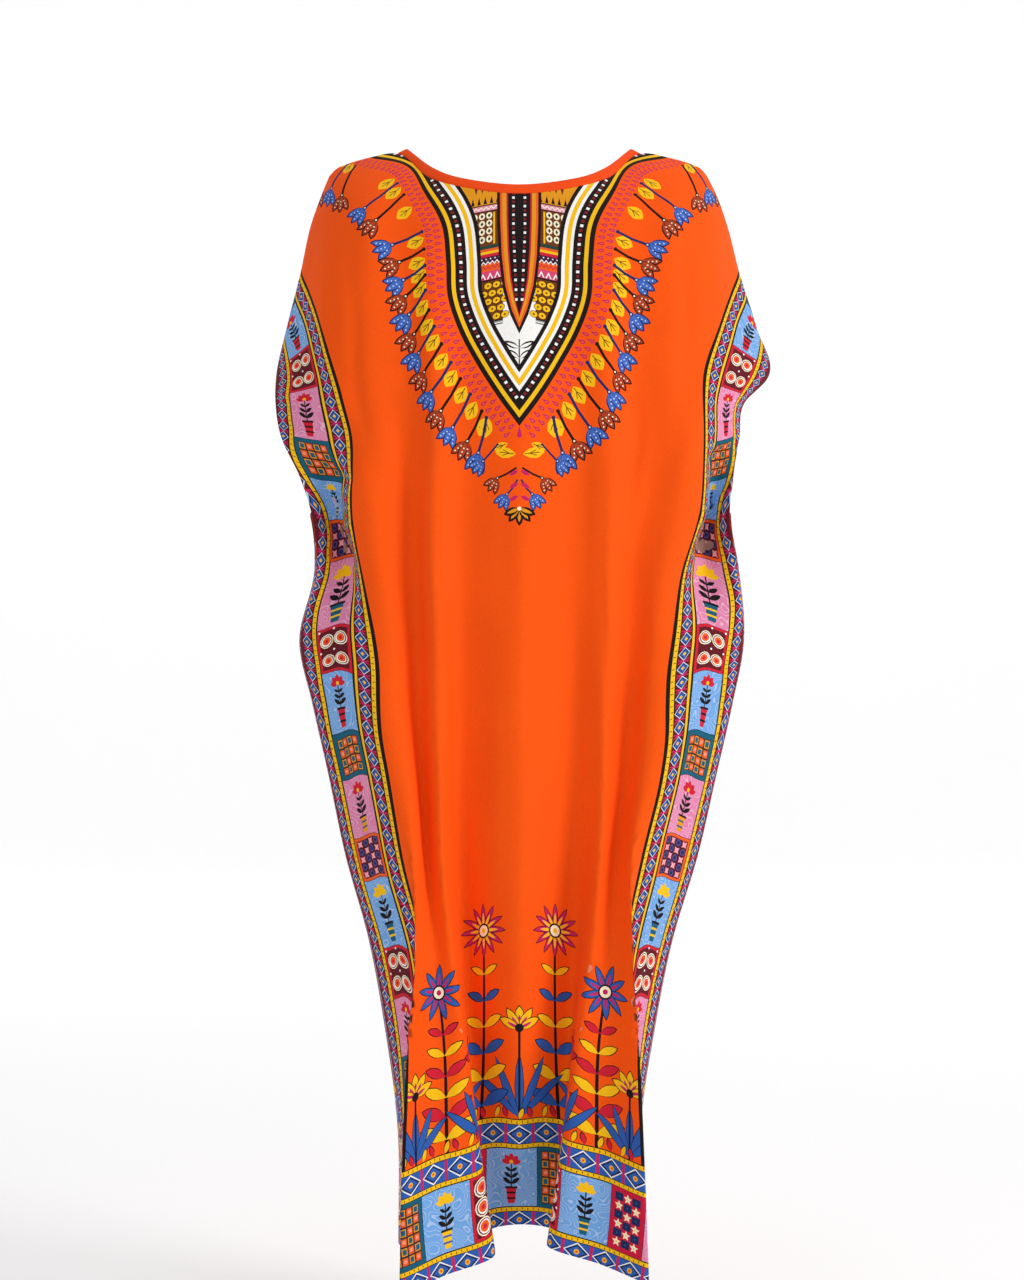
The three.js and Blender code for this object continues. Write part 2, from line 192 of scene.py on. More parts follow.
def half_grid(name, side):
    """Points of one half of a panel, by row and by column from the middle to the edge."""
    points = fold_points(name, side, ROWS)
    other = fold_points("back" if name == "front" else "front", side, ROWS)
    mirrored = fold_points(name, -side, ROWS)[:, 1] * (-1, 1, 1)
    spans = np.arange(EDGE + 1)
    rows = []
    for p, o, m in zip(points, other, mirrored):
        open_ = min(1, np.linalg.norm(p[EDGE] - o[EDGE]) / OPEN_DISTANCE)
        beyond = (1 - open_) * o[EDGE - 1] + open_ * (2 * p[EDGE] - p[EDGE - 1])
        line = np.vstack([m, p, beyond])
        plan = np.hypot(*np.diff(line[:, :2], axis=0).T)
        places = np.concatenate([[0], np.cumsum(np.sqrt(plan) + 0.6)])
        row = curve_at(places, line, np.interp(COLUMNS, spans, places[1:-1]))
        rows.append(row * (side, 1, 1))
    return np.array(rows)


def whole_grids():
    """Both panels' halves, which share their shoulder line beyond the neck point."""
    grids = {(name, side): half_grid(name, side) for name in ("front", "back") for side in (-1, 1)}
    fade = np.clip(1 - ROWS / 19, 0, 1)[:, None, None]
    shoulder = (COLUMNS >= NECK_POINT)[None, :, None]
    for side in (-1, 1):
        shared = (grids["front", side][:1] + grids["back", side][:1]) / 2
        for name in ("front", "back"):
            grid = grids[name, side]
            grids[name, side] = grid - shoulder * fade * (grid[:1] - shared)
    return grids


def flat_grid(grids, name):
    """Where each point of a half lies when the cloth is flat: across from the middle, and down."""
    flats = []
    for side in (-1, 1):
        step = np.diff(grids[name, side], axis=1)
        across = np.concatenate([np.zeros((len(ROWS), 1)),
                                 np.cumsum(np.hypot(step[..., 0], step[..., 1]), axis=1)], axis=1)
        step = np.diff(grids[name, side], axis=0)
        down = np.concatenate([np.zeros((1, len(COLUMNS))),
                               np.cumsum(np.hypot(step[..., 1], step[..., 2]), axis=0)])
        down += 180 - down[ROWS == 180]
        flats.append(np.stack([across, down], axis=2))
    return (flats[0] + flats[1]) / 2


def read_grid(grid, row, column):
    """A grid's values between its points."""
    i = np.clip(row.astype(int), 0, grid.shape[0] - 2)
    j = np.clip(column.astype(int), 0, grid.shape[1] - 2)
    a, b = (row - i)[:, None], (column - j)[:, None]
    return ((1 - a) * (1 - b) * grid[i, j] + (1 - a) * b * grid[i, j + 1]
            + a * (1 - b) * grid[i + 1, j] + a * b * grid[i + 1, j + 1])


def locate(flat, points):
    """Row and column, as fractions, of flat points on one half."""
    last_row, last_column = flat.shape[0] - 1, flat.shape[1] - 1
    row = np.clip(points[:, 1] / ROW_STEP, 0, last_row)
    column = np.full(len(points), last_column / 2.0)
    for _ in range(30):
        here = read_grid(flat, row, column)
        step = 0.5
        r1, c1 = np.clip(row + step, 0, last_row), np.clip(column + step, 0, last_column)
        r0, c0 = np.clip(row - step, 0, last_row), np.clip(column - step, 0, last_column)
        by_row = (read_grid(flat, r1, column) - read_grid(flat, r0, column)) / (r1 - r0)[:, None]
        by_column = (read_grid(flat, row, c1) - read_grid(flat, row, c0)) / (c1 - c0)[:, None]
        miss = points - here
        size = by_row[:, 0] * by_column[:, 1] - by_row[:, 1] * by_column[:, 0]
        dr = (miss[:, 0] * by_column[:, 1] - miss[:, 1] * by_column[:, 0]) / size
        dc = (by_row[:, 0] * miss[:, 1] - by_row[:, 1] * miss[:, 0]) / size
        row = np.clip(row + np.clip(dr, -20, 20), 0, last_row)
        column = np.clip(column + np.clip(dc, -6, 6), 0, last_column)
    return row, column


# Drawing the print on the flat cloth, in millimetres


def rgb(red, green, blue, swirl=0.0):
    """Linear colour from bytes; swirl says how much of the fine pale scroll lines it carries."""
    linear = [c / 255 / 12.92 if c <= 10 else ((c / 255 + 0.055) / 1.055) ** 2.4
              for c in (red, green, blue)]
    return (*linear, swirl)


ORANGE = rgb(248, 85, 5)
BLACK = rgb(26, 18, 20)
YELLOW = rgb(246, 190, 20)
GOLD = rgb(226, 150, 26)
CREAM = rgb(250, 238, 205)
WHITE = rgb(246, 244, 240)
PALE = rgb(190, 212, 240)
BLUE = rgb(44, 92, 172)
NAVY = rgb(28, 42, 92)
SKY = rgb(112, 164, 222, 1)
PINK = rgb(222, 130, 170, 1)
MAGENTA = rgb(196, 36, 96)
MAROON = rgb(96, 22, 34)
RED = rgb(206, 30, 52)
TEAL = rgb(20, 92, 118)
PURPLE = rgb(62, 26, 60)
BROWN = rgb(112, 54, 18)
FLAME = rgb(236, 92, 34)
GREY = rgb(150, 150, 152)

LONGEST_EDGE = 7.0
LINE_POINTS = 600


def turned(a, b, x, y, turn):
    """Points x, y turned by turn degrees round the origin and moved to (a, b)."""
    c, s = math.cos(math.radians(turn)), math.sin(math.radians(turn))
    return np.stack([a + x * c - y * s, b + x * s + y * c], axis=1)


class Line:
    """A smooth line on the flat cloth; at(s, t) is s along it and t to its left."""

    def __init__(self, points):
        points = np.array(points, float)
        steps = np.hypot(*np.diff(points, axis=0).T)
        places = np.concatenate([[0], np.cumsum(steps)])
        self.points = curve_at(places, points, np.linspace(0, places[-1], LINE_POINTS))
        steps = np.hypot(*np.diff(self.points, axis=0).T)
        self.s = np.concatenate([[0], np.cumsum(steps)])
        self.length = self.s[-1]
        along = np.gradient(self.points, self.s, axis=0)
        along /= np.linalg.norm(along, axis=1)[:, None]
        self.left = np.stack([along[:, 1], -along[:, 0]], axis=1)

    def at(self, s, t):
        """Points of the cloth for arrays s and t; beyond its ends the line runs straight on."""
        s, t = np.broadcast_arrays(np.asarray(s, float), np.asarray(t, float))
        inside = np.clip(s, 0, self.length)
        base = np.stack([np.interp(inside, self.s, self.points[:, k]) for k in (0, 1)], axis=-1)
        left = np.stack([np.interp(inside, self.s, self.left[:, k]) for k in (0, 1)], axis=-1)
        along = np.stack([-left[..., 1], left[..., 0]], axis=-1)
        return base + left * t[..., None] + along * (s - inside)[..., None]

    def nearest(self, point):
        """How far along the line lies nearest to a point."""
        return self.s[np.argmin(np.hypot(*(self.points - point).T))]


class Pen:
    """Draws filled shapes in its own coordinates; place turns them into points of the flat cloth."""

    def __init__(self, shapes, place, size=1.0):
        self.shapes = shapes
        self.place = place
        self.size = size

    def moved(self, a, b, turn=0.0, size=1.0, flip=1):
        """A pen whose origin is at (a, b), turned by turn degrees and scaled."""
        c, s = math.cos(math.radians(turn)) * size, math.sin(math.radians(turn)) * size

        def place(p):
            x, y = p[:, 0] * flip, p[:, 1]
            return self.place(np.stack([a + x * c - y * s, b + x * s + y * c], axis=1))
        return Pen(self.shapes, place, self.size * size)

    def fill(self, points, colour):
        points = np.asarray(points, float)
        rounded = []
        for p, q in zip(points, np.roll(points, -1, axis=0)):
            count = max(1, math.ceil(np.hypot(*(q - p)) * self.size / LONGEST_EDGE))
            rounded.extend(p + (q - p) * (k / count) for k in range(count))
        self.shapes.append((self.place(np.array(rounded)), colour))

    def box(self, a0, b0, a1, b1, colour):
        self.fill([(a0, b0), (a1, b0), (a1, b1), (a0, b1)], colour)

    def diamond(self, a, b, half_a, half_b, colour):
        self.fill([(a - half_a, b), (a, b - half_b), (a + half_a, b), (a, b + half_b)], colour)

    def disc(self, a, b, radius, colour, sides=10, tall=1.0, turn=0.0):
        angles = np.arange(sides) * 2 * math.pi / sides
        x, y = radius * np.cos(angles), radius * tall * np.sin(angles)
        self.fill(turned(a, b, x, y, turn), colour)

    def stroke(self, points, width, colour, end_width=None):
        """A line of some width along points, which may grow thinner to its end."""
        points = np.asarray(points, float)
        along = np.gradient(points, axis=0)
        along /= np.linalg.norm(along, axis=1)[:, None]
        half = np.linspace(width, width if end_width is None else end_width, len(points))[:, None] / 2
        left = np.stack([-along[:, 1], along[:, 0]], axis=1) * half
        self.fill(np.vstack([points + left, (points - left)[::-1]]), colour)

    def petal(self, a, b, length, width, turn, colour, x, y):
        """A shape from its root at (a, b), the same on both sides; y is its width share at x."""
        x, y = np.array(x), np.array(y) / 2
        along = np.concatenate([x, x[-2:0:-1]]) * length
        across = np.concatenate([y, -y[-2:0:-1]]) * width
        self.fill(turned(a, b, along, across, turn), colour)

    def leaf(self, a, b, length, width, turn, colour, tip=0.5):
        """A pointed leaf from its root at (a, b); tip says where along it is widest."""
        self.petal(a, b, length, width, turn, colour,
                   [0, 0.12, 0.3, tip, 0.78, 0.92, 1], [0, 0.42, 0.85, 1, 0.72, 0.32, 0])

    def drop(self, a, b, length, width, turn, colour):
        """A drop with its point at (a, b)."""
        self.petal(a, b, length, width, turn, colour,
                   [0, 0.45, 0.75, 0.93, 1.0], [0, 0.62, 1, 0.7, 0])

    def zigzag(self, a0, a1, b, height, teeth, width, colour):
        """A zigzag line of some width from a0 to a1, round the level b."""
        a = np.linspace(a0, a1, 2 * teeth + 1)
        mid = b + height * (np.arange(2 * teeth + 1) % 2 - 0.5)
        top = np.stack([a, mid + width / 2], axis=1)
        low = np.stack([a, mid - width / 2], axis=1)
        self.fill(np.vstack([low, top[::-1]]), colour)


# Motifs of the borders


def diamond_band(pen, s0, s1, low, high, pitch):
    """A row of blue diamonds with crosses between them, from s0 to s1 along the pen."""
    pen.box(s0, low, s1, high, MAROON)
    mid, half = (low + high) / 2, (high - low) / 2
    for k in range(math.ceil((s1 - s0) / pitch)):
        a = s0 + (k + 0.5) * pitch
        for turn in (1, -1):
            x, y = pitch * 0.16, half * 0.95 * turn
            bar = [(a + pitch / 2 - x, mid - y), (a + pitch / 2 - x + 1.6, mid - y),
                   (a + pitch / 2 + x, mid + y), (a + pitch / 2 + x - 1.6, mid + y)]
            pen.fill(bar, MAGENTA)
        pen.diamond(a, mid, pitch * 0.47, half * 1.0, PALE)
        pen.diamond(a, mid, pitch * 0.39, half * 0.84, NAVY)
        pen.diamond(a, mid, pitch * 0.3, half * 0.62, BLUE)
        pen.diamond(a, mid, pitch * 0.13, half * 0.3, YELLOW)


def ticked_band(pen, s0, s1, low, high, pitch):
    pen.box(s0, low, s1, high, YELLOW)
    for k in range(math.ceil((s1 - s0) / pitch)):
        a = s0 + (k + 0.5) * pitch
        shift = (high - low) * (0.12 if k % 2 else 0.3)
        pen.box(a, low + shift, a + 0.9, low + shift + (high - low) * 0.58, BLACK)


def ground(pen, wide, high, colour, rim, edge):
    """A block from the origin up to high and half of wide to each side, with a rim all round."""
    pen.box(-wide / 2, 0, wide / 2, high, rim)
    pen.box(edge - wide / 2, edge, wide / 2 - edge, high - edge, colour)


def cells(wide, high, edge, pitch_a, pitch_b):
    """Middle and half size of each cell of an even net inside a frame."""
    columns = max(1, round((wide - 2 * edge) / pitch_a))
    rows = max(1, round((high - 2 * edge) / pitch_b))
    half_a, half_b = (wide / 2 - edge) / columns, (high / 2 - edge) / rows
    for i in range(columns):
        for j in range(rows):
            a = edge - wide / 2 + (2 * i + 1) * half_a
            yield (i + j) % 2, a, edge + (2 * j + 1) * half_b, half_a, half_b


def rings_block(pen, wide, high):
    ground(pen, wide, high, MAROON, RED, 3.4)
    for _, a, b, half_a, half_b in cells(wide, high, 3.4, 20, 23):
        r = min(half_a, half_b)
        pen.disc(a, b, r * 0.98, CREAM, 12)
        pen.disc(a, b, r * 0.84, MAROON, 12)
        pen.disc(a + 0.4, b, r * 0.73, WHITE, 12)
        pen.disc(a, b + 0.3, r * 0.58, FLAME, 10)
        pen.disc(a, b, r * 0.27, RED, 6)
        pen.disc(a + half_a, b + half_b, 1.4, WHITE, 6)


def squares_block(pen, wide, high):
    ground(pen, wide, high, rgb(58, 44, 40), TEAL, 4.6)
    for odd, a, b, half_a, half_b in cells(wide, high, 4.6, 9.2, 10):
        x, y = half_a * 0.8, half_b * 0.8
        if odd:
            pen.box(a - x, b - y, a + x, b + y, FLAME)
            pen.box(a - x * 0.5, b - y * 0.4, a + x * 0.6, b + y * 0.5, rgb(250, 150, 120))
        else:
            pen.box(a - x, b - y, a + x, b + y, GOLD)
            pen.box(a - x * 0.68, b - y * 0.7, a + x * 0.68, b + y * 0.7, TEAL)


def star(pen, a, b, radius, colour, points=4, inner=0.42, turn=0.0):
    angles = math.radians(turn) + np.arange(2 * points) * math.pi / points
    r = radius * np.where(np.arange(2 * points) % 2, inner, 1.0)
    pen.fill(np.stack([a + r * np.cos(angles), b + r * np.sin(angles)], axis=1), colour)


def checks_block(pen, wide, high):
    ground(pen, wide, high, PURPLE, FLAME, 3.0)
    for odd, a, b, half_a, half_b in cells(wide, high, 3.0, 9.5, 9.5):
        if odd:
            pen.box(a - half_a, b - half_b, a + half_a, b + half_b, MAROON)
            star(pen, a, b, half_a * 1.05, rgb(248, 160, 170), 4, 0.5, 45)
        else:
            pen.disc(a, b, half_a * 0.85, rgb(90, 72, 130), 8)
            pen.disc(a, b, half_a * 0.5, NAVY, 8)


def stars_block(pen, wide, high):
    ground(pen, wide, high, RED, rgb(200, 24, 60), 4.5)
    for odd, a, b, half_a, half_b in cells(wide, high, 4.5, 9.5, 10):
        if odd:
            pen.box(a - half_a * 0.95, b - half_b * 0.9, a + half_a * 0.95, b + half_b * 0.9, NAVY)
            pen.disc(a, b, 1.2, TEAL, 6)
        else:
            star(pen, a, b, half_a, CREAM, 5, 0.45, 18)
            pen.disc(a, b, 1.1, YELLOW, 6)


def potted_plant(pen, high, bloom, pot, stripe):
    """A plant in a pot, standing at the origin and growing along b."""
    wide = high * 0.1
    pen.fill([(-wide * 0.6, 0), (wide * 0.6, 0), (wide, high * 0.3), (-wide, high * 0.3)], pot)
    for level in (0.08, 0.19):
        pen.box(-wide * 0.85, high * level, wide * 0.85, high * (level + 0.035), stripe)
    pen.box(-wide * 1.15, high * 0.29, wide * 1.15, high * 0.33, BLACK)
    pen.box(-0.7, high * 0.3, 0.7, high * 0.82, BLACK)
    for k, level in enumerate((0.38, 0.5, 0.62)):
        long = high * (0.2 - 0.03 * k)
        for turn in (38, 142):
            pen.leaf(0, high * level, long, long * 0.42, turn, BLACK)
    for turn in (90, 48, 132, 12, 168):
        pen.leaf(0, high * 0.79, high * 0.19, high * 0.11, turn, bloom)
    pen.disc(0, high * 0.81, high * 0.04, YELLOW, 6)


def plant_block(pen, wide, high, sky, bloom, pot, stripe):
    ground(pen, wide, high, sky, BLACK, 0.6)
    potted_plant(pen.moved(0, high * 0.06), high * 0.88, bloom, pot, stripe)


# Each plant block's ground, bloom, pot and stripe
PLANTS = {
    "blue_red": (SKY, RED, RED, BLACK),
    "blue_teal": (SKY, YELLOW, TEAL, YELLOW),
    "blue_gold": (SKY, YELLOW, YELLOW, BLUE),
    "pink_red": (PINK, RED, RED, BLACK),
    "pink_teal": (PINK, YELLOW, TEAL, YELLOW),
    "pink_gold": (PINK, RED, GOLD, TEAL),
}
NETS = {"rings": rings_block, "squares": squares_block, "checks": checks_block, "stars": stars_block}


def draw_block(pen, kind, wide, high):
    if kind in PLANTS:
        plant_block(pen, wide, high, *PLANTS[kind])
    else:
        NETS[kind](pen, wide, high)


# Side border: its inner line on the flat cloth, across and down, then where each block starts, taken
# at the middle of the border. width: the border's share of its full width at each height.
FRONT_BORDER = [(352, 40), (318, 82), (286, 116), (243, 168), (221, 214), (209, 256), (206, 306),
               (209, 350), (211, 388), (206, 429), (197, 472), (189, 533), (187, 578), (189, 609),
               (192, 650), (190, 700), (186, 760), (183, 830), (184, 920), (188, 1020), (194, 1140),
               (198, 1260)]
BACK_BORDER = [(352, 40), (318, 82), (286, 116), (244, 168), (226, 214), (224, 256), (214, 304),
               (206, 350), (226, 410), (250, 480), (267, 545), (268, 618), (260, 690), (249, 760),
               (242, 840), (239, 931), (242, 1020), (252, 1110), (264, 1200), (276, 1310)]
BORDER_WIDTH = [(0, 0.92), (200, 0.92), (256, 0.9), (306, 0.82), (350, 0.8), (400, 0.86), (460, 0.95),
                (540, 1.02), (610, 1.08), (700, 1.05), (790, 1.0), (900, 1.0), (1000, 1.04),
                (1260, 1.1)]
BORDER_BLOCKS = [
    ("pink_gold", 300, 20), ("squares", 300, 70), ("blue_red", 275, 135), ("rings", 256, 206),
    ("pink_red", 247, 258), ("squares", 243, 318), ("blue_teal", 247, 366), ("checks", 252, 408),
    ("pink_teal", 244, 452), ("rings", 231, 535), ("blue_red", 232, 588), ("squares", 238, 654),
    ("pink_gold", 238, 703), ("checks", 230, 769), ("blue_teal", 230, 817), ("rings", 230, 892),
    ("pink_red", 234, 948), ("squares", 238, 1015), ("blue_gold", 240, 1066), ("checks", 242, 1134),
    ("pink_teal", 244, 1190), ("rings", 246, 1260),
]
BORDER_REACH = 130
BLOCK_MIDDLE, BLOCK_WIDTH = 52.8, 42.4


def side_border(shapes, side, points):
    """The border down one side; side is 1 or -1."""
    line = Line(points)
    heights, shares = np.array(BORDER_WIDTH).T

    def place(p):
        base = line.at(p[:, 0], 0)
        wide = np.interp(base[:, 1], heights, shares)
        return line.at(p[:, 0], p[:, 1] * wide) * (side, 1)
    pen = Pen(shapes, place)
    end = line.length
    pen.box(0, 0, end, BORDER_REACH, BLACK)
    ticked_band(pen, 0, end, 4.6, 9.4, 7)
    diamond_band(pen, 0, end, 10.6, 25.2, 17)
    pen.box(0, 26.2, end, 29.4, YELLOW)
    ticked_band(pen, 0, end, 75.2, 79.8, 7)
    diamond_band(pen, 0, end, 81.0, 95.0, 17)
    pen.box(0, 95.0, end, BORDER_REACH, MAROON)
    starts = [line.nearest((across, down)) for _, across, down in BORDER_BLOCKS]
    for (kind, _, _), s0, s1 in zip(BORDER_BLOCKS, starts, starts[1:]):
        draw_block(pen.moved(s1, BLOCK_MIDDLE, turn=90), kind, BLOCK_WIDTH, s1 - s0)


# Hem band: kinds of block and where each starts, from the -X side on; the last only ends the row
HEM_BLOCKS = [("rings", -400), ("checks", -330), ("pink_teal", -286), ("squares", -232),
              ("blue_gold", -172), ("rings", -113), ("stars", -64), ("blue_red", -38),
              ("squares", 20), ("rings", 62), ("blue_teal", 100), ("stars", 156),
              ("pink_red", 198), ("squares", 258), ("stars", 320), ("", 400)]
HEM_BAND = 124
HEM_REACH = 420


def hem_band(shapes, flat):
    """The band along the hem, over all that lies under it."""
    low = flat[-1]

    def place(p):
        hem = np.interp(np.abs(p[:, 0]), low[:, 0], low[:, 1])
        return np.stack([p[:, 0], hem - p[:, 1]], axis=1)
    pen = Pen(shapes, place)
    pen.box(-HEM_REACH, -30, HEM_REACH, HEM_BAND, BLACK)
    ticked_band(pen, -HEM_REACH, HEM_REACH, HEM_BAND - 6.2, HEM_BAND - 1.2, 6)
    hem_diamonds(pen, 95.4, 117.0, 31)
    ticked_band(pen, -HEM_REACH, HEM_REACH, 90.2, 94.6, 6)
    for (kind, left), (_, right) in zip(HEM_BLOCKS, HEM_BLOCKS[1:]):
        draw_block(pen.moved((left + right) / 2, 21.5), kind, right - left, 68)
    ticked_band(pen, -HEM_REACH, HEM_REACH, 16.4, 20.8, 6)
    hem_diamonds(pen, -4.0, 15.6, 31)


def hem_diamonds(pen, low, high, pitch):
    pen.box(-HEM_REACH, low, HEM_REACH, high, BLUE)
    mid, half = (low + high) / 2, (high - low) / 2
    for k in range(-11, 12):
        a = k * pitch
        pen.diamond(a, mid, pitch * 0.46, half * 1.02, WHITE)
        pen.diamond(a, mid, pitch * 0.41, half * 0.86, NAVY)
        pen.diamond(a, mid, pitch * 0.3, half * 0.66, BLUE)
        pen.disc(a, mid, 3.0, YELLOW, 8)
        pen.disc(a, mid, 1.7, FLAME, 6)
        pen.box(a + pitch / 2 - 1.7, low, a + pitch / 2 + 1.7, high, MAGENTA)


# Yoke: the middle of its outer black line, from over the shoulder to its point
YOKE_LINE = [(236, -70), (191, -47), (140, -22), (108, 24), (84, 73), (79, 116), (77, 157), (64, 196),
             (46, 230), (22, 268), (0, 298)]
YOKE_SLANT = 0.22
SLIT_TIP = 193
DARK_RED = rgb(128, 34, 34)
# Where the tips of the buds round the yoke lie
RING_LINE = [(268, 44), (224, 44), (188, 74), (163, 116), (150, 164), (138, 210), (124, 255),
             (99, 314), (57, 353), (30, 376)]
RING_PITCH = 23.5
RING_LEAN = 26.0
BUD_LENGTH = 25.0


def yoke_strip(shapes, line, t0, t1, colour):
    """A band along the yoke's line, both sides, mitred at the point."""
    for side in (1, -1):
        edges = []
        for t in (t0, t1):
            points = line.at(np.arange(0, line.length + 90, 5.0), t)
            count = int(np.argmax(points[:, 0] < 0))
            p, q = points[count - 1], points[count]
            end = p + (q - p) * p[0] / (p[0] - q[0])
            edges.append(np.vstack([points[:count], end]))
        shapes.append((np.vstack([edges[0], edges[1][::-1]]) * (side, 1), colour))


def yoke(shapes):
    line = Line(YOKE_LINE)
    plain = Pen(shapes, lambda p: p)
    plain.fill([(-150, -80), (150, -80), (105, 20), (62, 120), (40, 190), (0, 262), (-40, 190),
                (-62, 120), (-105, 20)], WHITE)
    inner = line.at(np.arange(0, line.length, 4.0), -34)
    inner = inner[np.argsort(inner[:, 1])]

    def reach(b):
        """How far out the bands at the level b go before they meet the yoke's inner line."""
        a = np.arange(18.0, 130.0, 1.0)
        limit = np.interp(b + YOKE_SLANT * (a - 25), inner[:, 1], inner[:, 0])
        return float(a[np.argmax(a >= limit)]) if np.any(a >= limit) else 130.0
    for side in (1, -1):
        yoke_stack(Pen(shapes, lambda p, side=side: np.stack(
            [side * p[:, 0], p[:, 1] + YOKE_SLANT * (p[:, 0] - 25)], axis=1)), reach)
    yoke_point(plain)
    yoke_slit(plain)
    for t0, t1, colour in ((-36.5, -32.0, BLACK), (-32.0, -28.2, WHITE), (-28.2, -23.4, YELLOW),
                           (-23.4, -20.0, WHITE), (-20.0, -7.2, BLACK), (-7.2, -2.6, YELLOW),
                           (-2.6, 2.9, BLACK)):
        yoke_strip(shapes, line, t0, t1, colour)
    for side in (1, -1):
        pen = Pen(shapes, lambda p, side=side: line.at(p[:, 0], p[:, 1]) * (side, 1))
        for k in range(int((line.length - 16) / 5.2)):
            s = 20 + 5.2 * k
            if line.at(s, -13.6)[0] > 3:
                pen.box(s - 1.5, -15.4, s + 1.5, -11.8, WHITE if k % 2 else DARK_RED)
        yoke_ring(shapes, line, side)
    yoke_tail(plain)


def yoke_slit(pen):
    outline = np.array([(1, -80), (1, 20), (0.98, 70), (0.9, 110), (0.72, 145), (0.4, 172)])
    for half, tip, colour in ((25, 200, BLACK), (21.6, 193, FLAME), (19.0, 187.5, GOLD),
                              (14.5, 182, RED), (12.6, 178.5, BLACK)):
        right = np.stack([outline[:, 0] * half, outline[:, 1] * tip / SLIT_TIP], axis=1)
        pen.fill(np.vstack([right, [(0, tip)], (right * (-1, 1))[::-1]]), colour)
    for k in range(26):
        down = 21 + 5.6 * k
        across = 6.4 if down < 80 else 6.4 - 3.4 * (down - 80) / 85
        for side in (1, -1):
            colour = WHITE if k % 2 else DARK_RED
            pen.box(side * across - 1.4, down - 1.5, side * across + 1.4, down + 1.5, colour)


def yoke_stack(pen, reach):
    """The bands beside the slit, from the neck down."""
    levels = [(-90, 45, GOLD), (45, 46.4, BLACK), (46.4, 53, rgb(232, 150, 160)), (53, 54.4, BLACK),
              (54.4, 96, BROWN), (96, 100, rgb(34, 66, 58)), (100, 103, FLAME), (103, 106, YELLOW),
              (106, 109.6, RED), (109.6, 117.6, PURPLE), (117.6, 126.4, FLAME),
              (126.4, 136, rgb(214, 70, 110)), (136, 138, BLACK), (138, 184, BROWN),
              (184, 185.4, BLACK), (185.4, 187, GREY), (187, 188.2, WHITE), (188.2, 189.4, BLACK)]
    for top, bottom, colour in levels:
        edge = [(reach(b), b) for b in np.linspace(top, bottom, 2 + int((bottom - top) / 6))]
        pen.fill([(18, top), *edge, (18, bottom)], colour)
    for k in range(14):
        if 28 + 7 * k < reach(39):
            pen.fill([(22 + 7 * k, 44), (26 + 7 * k, 44), (24 + 7 * k, 34)], BLACK)
            pen.fill([(18.5 + 7 * k, 20), (22.5 + 7 * k, 20), (20.5 + 7 * k, 30)], MAROON)
    pen.zigzag(20, reach(50), 49.7, 3.2, 6, 1.6, WHITE)
    pen.box(27, 56, 29, 95, YELLOW)
    for k in range(4):
        for j in range(3):
            a, b = 33.5 + 8.2 * j, 59.5 + 9.6 * k
            pen.disc(a, b, 3.6, CREAM, 8, 1.2)
            pen.diamond(a, b, 1.7, 2.7, rgb(50, 56, 30))
    for k in range(18):
        if 23 + 5 * k < reach(112):
            pen.disc(22 + 5 * k, 112, 0.9, WHITE, 6)
    pen.zigzag(20, reach(117), 116.6, 3.2, 5, 1.7, WHITE)
    pen.zigzag(20, reach(122), 122, 3.4, 5, 1.5, RED)
    for k in range(12):
        if 28 + 8 * k < reach(132):
            pen.fill([(21 + 8 * k, 135.4), (28 + 8 * k, 135.4), (24.5 + 8 * k, 128)], WHITE)
            pen.fill([(22.6 + 8 * k, 135.4), (26.4 + 8 * k, 135.4), (24.5 + 8 * k, 131)], MAGENTA)
    for k in range(5):
        for j in range(7):
            a, b = 16 + 9.4 * j + (4.7 if k % 2 else 0), 143.4 + 9.0 * k
            if a + 2 > reach(b):
                continue
            pen.disc(a, b, 4.9, BLACK, 10, 0.86)
            pen.disc(a, b, 4.2, YELLOW, 10, 0.86)
            pen.disc(a, b, 1.3, BROWN, 6)


def yoke_point(pen):
    """Plain white with a black sprig under the slit."""
    pen.stroke([(0, 248), (0, 206)], 1.4, BLACK)
    for side in (1, -1):
        for a, b, long, turn in ((0, 240, 11, 52), (0, 228, 16, 40), (0, 216, 19, 24)):
            angle = -turn if side > 0 else turn - 180
            pen.leaf(a, b, long, long * 0.36, angle, BLACK)
            pen.leaf(a, b, long * 0.8, long * 0.18, angle, WHITE)
        pen.disc(side * 24, 205, 1.6, BLACK, 6)
        pen.disc(side * 15, 226, 1.3, BLACK, 6)
    pen.disc(0, 251, 2.4, BLACK, 8)
    pen.disc(0, 251, 1.2, WHITE, 6)


def bud(pen, a, b, turn, rim, body, glow, size=1.0):
    """A flower bud of three petals with pale dots; its stem ends at (a, b)."""
    pen = pen.moved(a, b, turn, size)
    for spread in (-27, 27, 0):
        pen.leaf(0, 0, BUD_LENGTH, 10.6, spread, rim)
        pen.leaf(0, 0, BUD_LENGTH - 2.2, 8.0, spread, body)
    for spread in (-27, 0, 27):
        for far in (9, 13.5, 18):
            x, y = far * math.cos(math.radians(spread)), far * math.sin(math.radians(spread))
            pen.disc(x, y, 1.0, glow, 5)
    pen.disc(0, 0, 2.8, rim, 7)
    pen.disc(0, 0, 1.3, glow, 5)


def veined_leaf(pen, a, b, length, width, turn):
    pen = pen.moved(a, b, turn)
    pen.leaf(0, 0, length, width, 0, YELLOW, 0.62)
    pen.stroke([(2, 0), (length * 0.76, 0)], 0.9, BROWN)
    for side in (1, -1):
        pen.stroke([(length * 0.3, 0), (length * 0.62, side * width * 0.26)], 0.8, BROWN)


BUDS = ((BLACK, rgb(170, 62, 30), CREAM), (NAVY, rgb(66, 104, 190), PALE))


